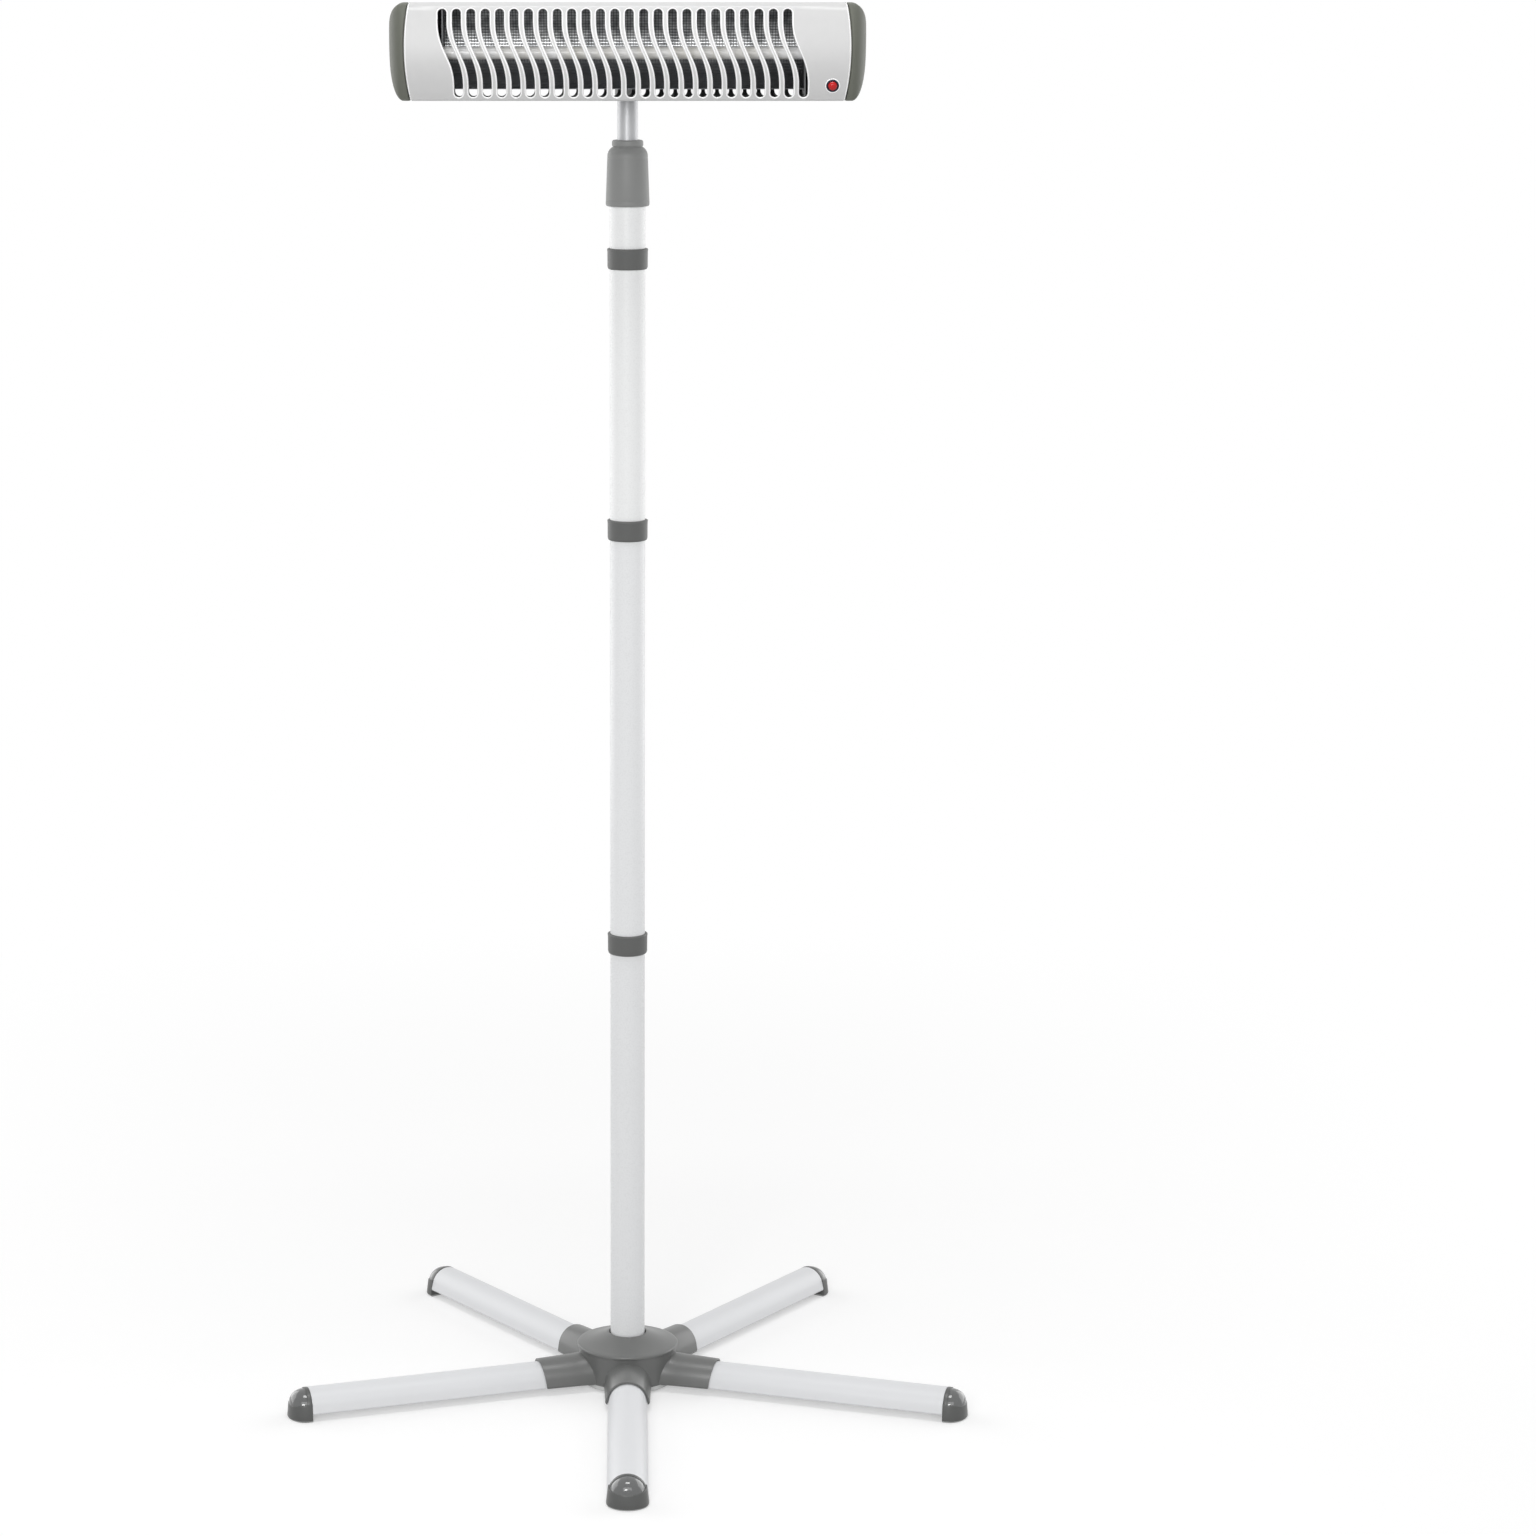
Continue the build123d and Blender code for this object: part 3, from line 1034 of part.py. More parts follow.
with BuildPart() as heating_coil:
    with BuildSketch(head_side(HOLDER_LEFT - element_reach)):
        with Locations((ELEMENT_Y, -ELEMENT_DROP)):
            Circle(COIL_RADIUS)
            Circle(COIL_RADIUS - COIL_WIRE, mode=Mode.SUBTRACT)
    extrude(amount=HOLDER_RIGHT - HOLDER_LEFT + 2 * element_reach)
save(heating_coil, "heating_coil")

with BuildPart() as thermal_cutout:
    with BuildSketch(head_front(REFLECTOR_BACK + REFLECTOR_WALL + SEAT_GAP)):
        with Locations((CUTOUT_PLACE, (REFLECTOR_TOP + REFLECTOR_BOTTOM) / 2)):
            Circle(CUTOUT_RADIUS)
    extrude(amount=-CUTOUT_DEPTH)
    chamfer(thermal_cutout.edges().group_by(Axis.Y)[-1], 1.5)
save(thermal_cutout, "thermal_cutout")

# ---------------------------------------------------------------- push button and wiring parts

BUTTON_BORE = BUTTON_RADIUS + SLIDE_GAP
BUTTON_FOOT = BEZEL_LENGTH - BUTTON_TRAVEL - STOP_GAP      # face down to the underside of the cap

with BuildPart() as button_bezel:
    with BuildSketch(BUTTON_FACE):
        Circle(BEZEL_RADIUS)
    extrude(amount=BEZEL_HEIGHT)
    chamfer(button_bezel.faces().sort_by(Axis.Y)[0].edges(), BEZEL_HEIGHT / 2)
    with BuildSketch(BUTTON_FACE):
        Circle(BEZEL_BODY_RADIUS)
    extrude(amount=-BEZEL_LENGTH)
    with BuildSketch(BUTTON_FACE.offset(BEZEL_HEIGHT)):
        Circle(BUTTON_BORE)
    extrude(amount=-BEZEL_HEIGHT - BEZEL_LENGTH, mode=Mode.SUBTRACT)
save(button_bezel, "button_bezel")

with BuildPart() as power_button:
    with BuildSketch(BUTTON_FACE.offset(-BUTTON_FOOT)):
        Circle(BUTTON_RADIUS)
    extrude(amount=BUTTON_FOOT + BEZEL_HEIGHT + BUTTON_PROUD + BUTTON_DOME)
    fillet(power_button.faces().sort_by(Axis.Y)[0].edges(), BUTTON_DOME)
    with BuildSketch(BUTTON_FACE.offset(-BUTTON_FOOT)):
        Circle(STEM_RADIUS)
    extrude(amount=-STEM_LENGTH)
save(power_button, "power_button")

with BuildPart() as switch_block:
    with BuildSketch(BUTTON_FACE.offset(-BEZEL_LENGTH)):
        RectangleRounded(SWITCH_SIZE, SWITCH_SIZE, 1)
    extrude(amount=-SWITCH_LENGTH)
    with BuildSketch(BUTTON_FACE.offset(-BEZEL_LENGTH)):
        Circle(STEM_RADIUS + SLIDE_GAP)
    extrude(amount=BEZEL_LENGTH - BUTTON_FOOT - STEM_LENGTH - BUTTON_TRAVEL - SLIDE_GAP, mode=Mode.SUBTRACT)
save(switch_block, "switch_block")

with BuildPart() as terminal_block:
    terminal_back = REAR_DEPTH - COVER_WALL - TERMINAL_STANDOFF
    with BuildSketch(head_front(terminal_back)):
        with Locations((TERMINAL_PLACE, 0)):
            Rectangle(TERMINAL_WIDTH, TERMINAL_HEIGHT)
    extrude(amount=TERMINAL_DEPTH)
    with BuildSketch(head_front(terminal_back - TERMINAL_DEPTH)):
        with Locations((TERMINAL_PLACE, 0)):
            with GridLocations(TERMINAL_PITCH, 0, 2, 1):
                Circle(TERMINAL_HOLE_RADIUS)
    extrude(amount=-TERMINAL_HOLE_DEPTH, mode=Mode.SUBTRACT)
save(terminal_block, "terminal_block")

with BuildPart() as cable_inlet:
    inlet_seat = REAR_DEPTH + INLET_STANDOFF
    with BuildSketch(head_front(inlet_seat)):
        with Locations((INLET_PLACE, 0)):
            Circle(INLET_RADIUS + INLET_FLANGE)
    extrude(amount=-INLET_FLANGE_HEIGHT)
    fillet(cable_inlet.edges().group_by(Axis.Y)[-1], INLET_FLANGE_HEIGHT / 2)
    with BuildSketch(head_front(inlet_seat)):
        with Locations((INLET_PLACE, 0)):
            Circle(INLET_RADIUS - SEAT_GAP)
    extrude(amount=COVER_WALL + INLET_TAIL)
    with BuildSketch(head_front(inlet_seat + INLET_FLANGE_HEIGHT)):
        with Locations((INLET_PLACE, 0)):
            Circle(INLET_BORE)
    extrude(amount=INLET_FLANGE_HEIGHT + COVER_WALL + INLET_TAIL, mode=Mode.SUBTRACT)
save(cable_inlet, "cable_inlet")
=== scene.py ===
"""Looks of a quartz heater on a telescopic stand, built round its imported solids.

Sizes in the code are millimetres, like the solids' source; Blender's own unit is the metre.
+Z is up, the floor is Z = 0 and the heater faces -Y.
"""

from contextlib import contextmanager
from math import asin, atan2, cos, hypot, pi, radians, sin, tan

import bpy
from mathutils import Matrix, Vector


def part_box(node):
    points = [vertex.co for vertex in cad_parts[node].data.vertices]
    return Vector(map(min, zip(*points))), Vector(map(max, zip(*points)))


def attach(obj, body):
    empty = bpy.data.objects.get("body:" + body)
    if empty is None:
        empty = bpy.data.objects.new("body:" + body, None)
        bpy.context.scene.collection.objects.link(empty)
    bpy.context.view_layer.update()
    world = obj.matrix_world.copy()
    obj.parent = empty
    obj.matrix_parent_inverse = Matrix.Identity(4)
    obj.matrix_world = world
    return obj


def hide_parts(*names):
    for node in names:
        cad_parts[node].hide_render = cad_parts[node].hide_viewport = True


bl_info = {
    "name": "Quartz heater on a stand",
    "version": (1, 0, 0),
    "blender": (4, 5, 0),
    "location": "3D View > Sidebar > Heater",
    "description": "Models and dresses a quartz radiant heater on a telescopic floor stand",
    "category": "Object",
}

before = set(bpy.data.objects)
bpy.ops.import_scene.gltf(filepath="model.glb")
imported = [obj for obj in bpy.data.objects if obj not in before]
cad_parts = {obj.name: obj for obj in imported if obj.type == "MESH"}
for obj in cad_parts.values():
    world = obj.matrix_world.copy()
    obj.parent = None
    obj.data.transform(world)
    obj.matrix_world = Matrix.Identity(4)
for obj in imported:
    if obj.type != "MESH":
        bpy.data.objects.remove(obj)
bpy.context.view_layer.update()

MM = 0.001
FINE, COARSE = 96, 64          # steps round a wide and a narrow turned piece

# ------------------------ places read from the solids


def low(node):
    """Lowest corner of a solid, in millimetres."""
    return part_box(node)[0] / MM


def high(node):
    """Highest corner of a solid, in millimetres."""
    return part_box(node)[1] / MM


def middle(node):
    """Middle of a solid's box, in millimetres."""
    return (low(node) + high(node)) / 2


MAST_Y = middle("mast_tube_lower").y
COLLAR_RADIUS = (high("coupler_lower").x - low("coupler_lower").x) / 2
LEG_REACH = MAST_Y - low("foot_cap_front").y
LEG_START = MAST_Y - high("leg_front").y
LEG_WIDTH = high("leg_front").x - low("leg_front").x
LEG_LIFT = low("leg_front").z
LEG_TOP = high("leg_front").z
SEAM_Y = high("front_casing").y                  # casing meets cover
HEAD_Z = middle("front_casing").z
FRONT_DEPTH = SEAM_Y - low("front_casing").y
HALF_HEIGHT = HEAD_Z - low("front_casing").z
HALF_LENGTH = high("end_cap_right").x

# ------------------------ sizes that pieces share

LEG_ANGLES = {
    "front": -90, "front_right": -18, "rear_right": 54, "rear_left": 126, "front_left": 198,
}
CAP_LENGTH = 24.0
LEG_SEAM = LEG_REACH - CAP_LENGTH                # leg tube meets foot cap
LEG_SHOULDER = LEG_LIFT + 9.5                    # height where a leg's flank turns into its crown
LEG_DRAFT = 1.8                                  # lean of that flank
COLLAR_HEIGHT = 22.0
SPIGOT_LENGTH = 55.0
SEAM_GAP = 0.3
SEAM_MIDDLE = high("front_casing").x + SEAM_GAP  # the curved seam between casing and end cap
SEAM_TOP = SEAM_MIDDLE - 4.0
SEAM_BOTTOM = SEAM_MIDDLE - 6.0
COVER_DEPTH = 48.0
FACE_RADIUS = 136.97                             # side view of the casing's bulged face
BUTTON_DROP = 33.8                               # button below the middle of the head
BUTTON_SLOPE = asin(BUTTON_DROP / FACE_RADIUS)
BUTTON_AXIS = (0, -cos(BUTTON_SLOPE), -sin(BUTTON_SLOPE))
ALONG_X, UP = (1, 0, 0), (0, 0, 1)

# ------------------------ modelling helpers


def clear_selection():
    if bpy.context.object and bpy.context.object.mode != "OBJECT":
        bpy.ops.object.mode_set(mode="OBJECT")
    bpy.ops.object.select_all(action="DESELECT")


def pick(piece):
    """Make one object the only selected and active one."""
    clear_selection()
    piece.select_set(True)
    bpy.context.view_layer.objects.active = piece


def discard(piece):
    """Delete a helper piece."""
    pick(piece)
    bpy.ops.object.delete()


@contextmanager
def editing(piece):
    """Edit mode on one piece, and object mode again after it."""
    pick(piece)
    bpy.ops.object.mode_set(mode="EDIT")
    try:
        yield
    finally:
        bpy.ops.object.mode_set(mode="OBJECT")


@contextmanager
def drawing(name):
    """New mesh object without any mesh yet, in edit mode until the block ends."""
    clear_selection()
    bpy.ops.mesh.primitive_plane_add(size=MM)
    piece = bpy.context.object
    piece.name = piece.data.name = name
    with editing(piece):
        bpy.ops.mesh.select_mode(type="VERT")
        bpy.ops.mesh.select_all(action="SELECT")
        bpy.ops.mesh.delete(type="VERT")
        yield piece


def draw_run(points):
    """In edit mode: one vertex, extruded from point to point."""
    bpy.ops.mesh.select_all(action="DESELECT")
    bpy.ops.mesh.primitive_plane_add(size=MM)
    bpy.ops.mesh.merge(type="CENTER")
    bpy.ops.transform.translate(value=Vector(points[0]) * MM)
    for before, after in zip(points, points[1:]):
        step = (Vector(after) - Vector(before)) * MM
        bpy.ops.mesh.extrude_region_move(TRANSFORM_OT_translate={"value": step})


def merge_all(distance=0.002):
    bpy.ops.mesh.select_all(action="SELECT")
    bpy.ops.mesh.remove_doubles(threshold=distance * MM)


def face_outwards():
    bpy.ops.mesh.select_all(action="SELECT")
    bpy.ops.mesh.normals_make_consistent(inside=False)


def turned(name, profile, place=(0, MAST_Y, 0), axis=UP, out=ALONG_X, steps=FINE):
    """Lathe a half section: (radius, height) pairs, turned about an axis through place."""
    centre, axis, out = Vector(place), Vector(axis), Vector(out)
    run = [centre + out * radius + axis * height for radius, height in profile]
    with drawing(name) as piece:
        draw_run(run + [run[0]])
        bpy.ops.mesh.select_all(action="SELECT")
        bpy.ops.mesh.spin(steps=steps, angle=2 * pi, center=centre * MM, axis=axis)
        merge_all()
        face_outwards()
    return piece


def lofted(name, rings, filled=True):
    """Skin a row of closed rings that have equal counts of points, and fill both ends."""
    with drawing(name) as piece:
        draw_run(list(rings[0]) + [rings[0][0]])
        merge_all(0.0005)
        if filled:
            bpy.ops.mesh.edge_face_add()
        places = [Vector(point) * MM for point in rings[0]]
        for ring in rings[1:]:
            bpy.ops.mesh.extrude_region_move(TRANSFORM_OT_translate={"value": (0, 0, 0)})
            bpy.ops.object.mode_set(mode="OBJECT")
            targets = [Vector(point) * MM for point in ring]
            for vertex in piece.data.vertices:
                if vertex.select:
                    nearest = min(
                        range(len(places)), key=lambda k: (places[k] - vertex.co).length_squared)
                    vertex.co = targets[nearest]
            places = targets
            bpy.ops.object.mode_set(mode="EDIT")
        face_outwards()
    return piece


def modify(piece, kind, **settings):
    """Add a modifier with its settings and apply it."""
    pick(piece)
    bpy.ops.object.modifier_add(type=kind)
    modifier = piece.modifiers[-1]
    for key, value in settings.items():
        setattr(modifier, key, value)
    bpy.ops.object.modifier_apply(modifier=modifier.name)
    if not piece.data.polygons:
        raise RuntimeError(f"{kind} left {piece.name} without faces")


def round_edges(piece, width, segments=2, angle=40):
    """Round every edge sharper than an angle."""
    modify(
        piece, "BEVEL", width=width * MM, segments=segments, limit_method="ANGLE",
        angle_limit=radians(angle))


def smooth(piece, angle):
    """Smooth shading, with edges sharper than an angle kept."""
    pick(piece)
    bpy.ops.object.shade_smooth_by_angle(angle=radians(angle))


def cut(piece, tool, operation="DIFFERENCE"):
    """Take one solid from another, or add it, and discard it."""
    modify(piece, "BOOLEAN", operation=operation, solver="EXACT", object=tool)
    discard(tool)


def cleaned_copy(node, name, flat=0.5):
    """Copy of a solid's mesh with its loose triangles joined and its flat faces made whole."""
    clear_selection()
    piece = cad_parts[node].copy()
    piece.data = piece.data.copy()
    for key in list(piece.keys()):
        del piece[key]
    piece.parent = None
    piece.matrix_world = Matrix.Identity(4)
    piece.name = piece.data.name = name
    bpy.context.collection.objects.link(piece)
    with editing(piece):
        merge_all(0.001)
        bpy.ops.mesh.dissolve_limited(angle_limit=radians(flat))
    return piece


def spun_copy(piece, name, angle):
    """Copy of a piece with its own mesh, turned about the mast's axis."""
    copy = piece.copy()
    copy.data = piece.data.copy()
    copy.name = copy.data.name = name
    bpy.context.collection.objects.link(copy)
    about = Matrix.Translation(Vector((0, MAST_Y * MM, 0)))
    copy.data.transform(about @ Matrix.Rotation(radians(angle), 4, "Z") @ about.inverted())
    return copy


def paint(piece, *finishes):
    """Give a piece its materials, by the keys of their finishes."""
    piece.data.materials.clear()
    for key in finishes:
        piece.data.materials.append(finish(key))


def paint_faces(piece, index, chosen=lambda face: True):
    """Give the faces that a test picks another of the piece's materials."""
    for face in piece.data.polygons:
        if chosen(face):
            face.material_index = index


def assign(piece, body, slot, *replaced):
    """State a piece's body and the solids it stands for; its record slot is not used."""
    if not piece.data.polygons:
        raise RuntimeError(f"{piece.name} has no faces")
    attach(piece, body)
    if replaced:
        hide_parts(*replaced)


def arc_points(start, through, end, count):
    """Points on the circle through three 2-D points, ends included."""
    (ax, ay), (bx, by), (cx, cy) = start, through, end
    a, b, c = ax**2 + ay**2, bx**2 + by**2, cx**2 + cy**2
    d = 2 * (ax * (by - cy) + bx * (cy - ay) + cx * (ay - by))
    ux = (a * (by - cy) + b * (cy - ay) + c * (ay - by)) / d
    uy = (a * (cx - bx) + b * (ax - cx) + c * (bx - ax)) / d
    radius = hypot(ax - ux, ay - uy)
    first, mid, last = (atan2(y - uy, x - ux) for x, y in (start, through, end))
    span = (last - first) % (2 * pi)
    if (mid - first) % (2 * pi) > span:
        span -= 2 * pi
    turns = [first + span * k / count for k in range(count + 1)]
    return [(ux + radius * cos(turn), uy + radius * sin(turn)) for turn in turns]


def complete(piece, coat, angle, *stated):
    """Paint a piece, smooth it up to an angle and state its body and solids."""
    paint(piece, coat)
    smooth(piece, angle)
    assign(piece, *stated)


def soften(node, name, coat, width, body, slot):
    """Let a solid's own shape stand for it, with its edges rounded by width millimetres."""
    piece = cleaned_copy(node, name)
    round_edges(piece, width)
    complete(piece, coat, 35, body, slot, node)


# ------------------------ material helpers


def linear(code):
    """Linear colour of an sRGB hex value."""
    parts = [int(code[k:k + 2], 16) / 255 for k in (1, 3, 5)]
    return [c / 12.92 if c <= 0.04045 else ((c + 0.055) / 1.055) ** 2.4 for c in parts] + [1.0]


def add(tree, kind, links=None, **settings):
    """Add one node: settings by name on the node or its sockets, links from other sockets."""
    node = tree.nodes.new(kind)
    for key, value in settings.items():
        if hasattr(node, key) and key not in node.inputs:
            setattr(node, key, value)
        else:
            node.inputs[key].default_value = value
    for key, source in (links or {}).items():
        tree.links.new(source, node.inputs[key])
    return node


def new_material(name):
    """New material, its node tree and the piece's own coordinates in that tree."""
    material = bpy.data.materials.new(name)
    material.use_nodes = True
    tree = material.node_tree
    tree.nodes.clear()
    return material, tree, add(tree, "ShaderNodeTexCoord").outputs["Object"]


def noise(tree, place, size, detail):
    """Noise whose features are about size millimetres wide."""
    return add(
        tree, "ShaderNodeTexNoise", {"Vector": place}, Scale=1 / (size * MM), Detail=detail,
    ).outputs[0]


def ramp(tree, value, *stops):
    """Colour ramp with two stops, each a position and a colour."""
    node = add(tree, "ShaderNodeValToRGB", {"Fac": value})
    for element, (position, colour) in zip(node.color_ramp.elements, stops):
        element.position = position
        element.color = linear(colour)
    return node.outputs["Color"]


def mixed(tree, links, **settings):
    """Mix of two colours, A and B, by a factor."""
    node = add(tree, "ShaderNodeMix", links, data_type="RGBA", **settings)
    return node.outputs["Result"]


def shaded(material, tree, links, **sockets):
    """Close a material with a principled shader."""
    shader = add(tree, "ShaderNodeBsdfPrincipled", links, **sockets)
    add(tree, "ShaderNodeOutputMaterial", {"Surface": shader.outputs["BSDF"]})
    return material


def surface(name, colour, roughness, grain, grain_size, mottle, mottle_size, sockets=None):
    """A finish with fine grain in its relief, and slight unevenness in its colour and gloss."""
    gloss_play = 0.05
    material, tree, place = new_material(name)
    uneven = noise(tree, place, mottle_size, 3.0)
    fine = noise(tree, place, grain_size, 2.0)
    base = linear(colour)[:3]
    tone = mixed(
        tree, {"Factor": uneven}, A=[c * (1 - mottle) for c in base] + [1],
        B=[min(1, c * (1 + mottle)) for c in base] + [1])
    polish = add(tree, "ShaderNodeMapRange", {"Value": fine}, **{
        "To Min": max(0.02, roughness - gloss_play), "To Max": min(1, roughness + gloss_play)})
    bump = add(tree, "ShaderNodeBump", {"Height": fine}, Strength=1.0, Distance=grain * MM)
    return shaded(material, tree, {
        "Base Color": tone, "Roughness": polish.outputs["Result"], "Normal": bump.outputs["Normal"],
    }, **(sockets or {}))


def sheen(level):
    return {"Specular IOR Level": level}


SURFACES = {
    # finish: material, colour, roughness, grain height and spacing in mm, mottle and its size
    # polyester powder coat on steel tube: satin, with the faint orange peel of a baked coat
    "leg_coat": ("powder_coat_light_grey", "#E2E3E5", 0.44, 0.008, 1.2, 0.012, 90, sheen(0.4)),
    # the same coat on the mast in four copies, greyer tube by tube down from the head: painted
    # shade for the light that falls off towards the floor
    "mast_coat_top": ("powder_coat_mast_top", "#F4F5F5", 0.28, 0.012, 1.2, 0.008, 120),
    "mast_coat_upper": ("powder_coat_mast_upper", "#F0F1F1", 0.28, 0.012, 1.2, 0.008, 120),
    "mast_coat_middle": ("powder_coat_mast_middle", "#E9EAEB", 0.28, 0.012, 1.2, 0.008, 120),
    "mast_coat_lower": ("powder_coat_mast_lower", "#E8E9EA", 0.28, 0.012, 1.2, 0.008, 120),
    # drawn aluminium tube, anodised: soft metal shine with brighter flanks
    "anodised": (
        "anodised_aluminium_tube", "#BFC0C2", 0.38, 0.004, 0.6, 0.015, 40, {"Metallic": 0.3}),
    # structured silver-white paint on sheet steel: fine dense grain that breaks up the light
    "casing_coat": ("structured_silver_white_paint", "#CBCBCB", 0.42, 0.02, 0.9, 0.02, 8),
    # inner side of the casing: thin dark primer, flat
    "primer": ("dark_sheet_primer", "#3A3A39", 0.7, 0.01, 0.9, 0.04, 20),
    # white edge of the punched and rolled slots and of the button's ring: painted highlight where
    # the rolled edges catch the light
    "lip_coat": ("rolled_edge_white_paint", "#FFFFFF", 0.3, 0.004, 1.0, 0.0, 50),
    # ABS moulded against a spark-eroded tool: even grey, dry sheen
    "grey_abs": ("moulded_abs_mid_grey", "#8B8C8B", 0.46, 0.01, 0.7, 0.02, 30, sheen(0.32)),
    "collar_abs": ("moulded_abs_collar_grey", "#636463", 0.46, 0.01, 0.7, 0.02, 30, sheen(0.32)),
    # glass-filled nylon hub: slightly waxy
    "hub_nylon": ("moulded_nylon_hub_grey", "#6B6C6B", 0.34, 0.014, 0.8, 0.03, 25),
    # polished domes of the feet, the matte skirt under them and the pale pad they stand on
    "foot_gloss": (
        "polished_abs_foot_grey", "#5F6060", 0.09, 0.0, 1.0, 0.01, 40,
        {"Coat Weight": 0.6, "Coat Roughness": 0.04}),
    "foot_matte": ("moulded_abs_foot_grey", "#555655", 0.36, 0.012, 0.8, 0.02, 25),
    "foot_pad": ("moulded_tpe_pad_grey", "#A9AAA9", 0.6, 0.01, 0.8, 0.02, 20),
    # soft-touch moulding of the end caps: warm greenish grey
    "end_cap": ("moulded_pa_warm_grey", "#666860", 0.55, 0.02, 0.9, 0.03, 22, sheen(0.25)),
    "cover": ("moulded_pp_dark_grey", "#5C5D5D", 0.50, 0.02, 0.9, 0.03, 35),
    # aluminised steel of the reflector's end plates, in shade behind the first and last slots
    "end_plate": (
        "aluminised_steel_plate", "#5E5F60", 0.55, 0.004, 0.6, 0.04, 8, {"Metallic": 0.6}),
    # the end caps' tongue in the seam gap, near black: painted shade in the gap
    "dark_gap": ("shaded_inner_plastic", "#2A2A2A", 0.8, 0.0, 1.0, 0.0, 50),
    "plate": ("moulded_abs_pale_plate", "#DADBDA", 0.42, 0.01, 0.8, 0.02, 30),
    "zinc": ("zinc_plated_steel", "#B9BBBC", 0.30, 0.003, 0.4, 0.03, 6, {"Metallic": 1.0}),
    "bracket": ("powder_coat_dark_bracket", "#4B4C4C", 0.45, 0.015, 0.8, 0.02, 30),
    "rubber": ("moulded_epdm_rubber", "#1E1E1E", 0.75, 0.01, 0.6, 0.03, 20),
    "ceramic": ("pressed_steatite", "#ECEAE2", 0.65, 0.01, 0.5, 0.02, 10),
    "wire": ("oxidised_resistance_wire", "#6B655F", 0.45, 0.02, 1.2, 0.06, 4, {"Metallic": 0.8}),
    "navy": ("polished_abs_navy", "#0B0D26", 0.28, 0.0, 1.0, 0.0, 40, sheen(0.3)),
}


def red_lens():
    """Clear red polycarbonate: glossy dome, its colour painted lighter in the middle and darker
    towards the rim as painted light and shade.
    """
    material, tree = new_material("moulded_polycarbonate_red")[:2]
    # bright red where the lens faces the camera, dark red towards its rim: painted light and shade
    facing = add(tree, "ShaderNodeLayerWeight", Blend=0.35).outputs["Facing"]
    tone = mixed(tree, {"Factor": facing}, A=linear("#C40F14"), B=linear("#5A0608"))
    return shaded(
        material, tree, {"Base Color": tone}, Roughness=0.14, IOR=1.49, **sheen(0.35))


def milky_quartz():
    """Fused quartz full of fine bubbles: bright white, with soft darker streaks that lean along it
    as painted shade for the slats' slanted shadows.
    """
    material, tree, place = new_material("drawn_milky_quartz")
    slanted = add(
        tree, "ShaderNodeMapping", {"Vector": place},
        Rotation=(0, radians(35), 0), Scale=(1, 1, 0.25))
    # slanted darker streaks: painted shade standing in for the slats' shadows on the tube
    streaks = noise(tree, slanted.outputs["Vector"], 26, 2.0)
    tone = ramp(tree, streaks, (0.36, "#E2E0DA"), (0.58, "#FFFFFF"))
    return shaded(material, tree, {"Base Color": tone}, Roughness=0.2, IOR=1.46)


def embossed_sheet():
    """Bright rolled aluminium with a pressed grid that breaks reflections into small facets; its
    grooves and lower part are darkened as painted shade.
    """
    cell, groove, groove_depth = 2.9 * MM, 0.32 * MM, 0.12 * MM
    material, tree, place = new_material("embossed_bright_aluminium")
    upright = add(
        tree, "ShaderNodeMapping", {"Vector": place}, Rotation=(radians(-90), 0, 0))
    # the grid's grooves are coloured dark: painted shade in the pressed grooves
    grid = add(
        tree, "ShaderNodeTexBrick", {"Vector": upright.outputs["Vector"]}, offset=0.0, **{
            "Scale": 1.0, "Brick Width": cell, "Row Height": cell, "Mortar Size": groove,
            "Mortar Smooth": 0.6, "Color1": linear("#F6F7F8"), "Color2": linear("#E2E3E4"),
            "Mortar": linear("#6A6B6C")})
    dull = ramp(tree, noise(tree, place, 16, 3.0), (0.38, "#B4B5B6"), (0.62, "#FFFFFF"))
    clouded = mixed(
        tree, {"A": grid.outputs["Color"], "B": dull}, blend_type="MULTIPLY", Factor=1.0)
    # below the tube the sheet's colour is darkened: painted shade for the dark surroundings the
    # lower trough reflects
    height = add(tree, "ShaderNodeSeparateXYZ", {"Vector": place}).outputs["Z"]
    clear = add(
        tree, "ShaderNodeMapRange", {"Value": height}, interpolation_type="SMOOTHSTEP",
        **{"From Min": (HEAD_Z - 14) * MM, "From Max": (HEAD_Z - 2) * MM})
    tone = mixed(
        tree, {"Factor": clear.outputs["Result"], "B": clouded}, A=linear("#57585A"))
    bump = add(
        tree, "ShaderNodeBump", {"Height": grid.outputs["Fac"]},
        invert=True, Strength=0.6, Distance=groove_depth)
    return shaded(
        material, tree, {"Base Color": tone, "Normal": bump.outputs["Normal"]},
        Metallic=1.0, Roughness=0.36)


MATERIALS = {}


def finish(key):
    """One of the heater's materials; the first call makes them all."""
    if not MATERIALS:
        MATERIALS.update({name: surface(*row) for name, row in SURFACES.items()})
        MATERIALS.update(lens=red_lens(), quartz=milky_quartz(), reflector=embossed_sheet())
    return MATERIALS[key]


# ------------------------ sizes a user would change


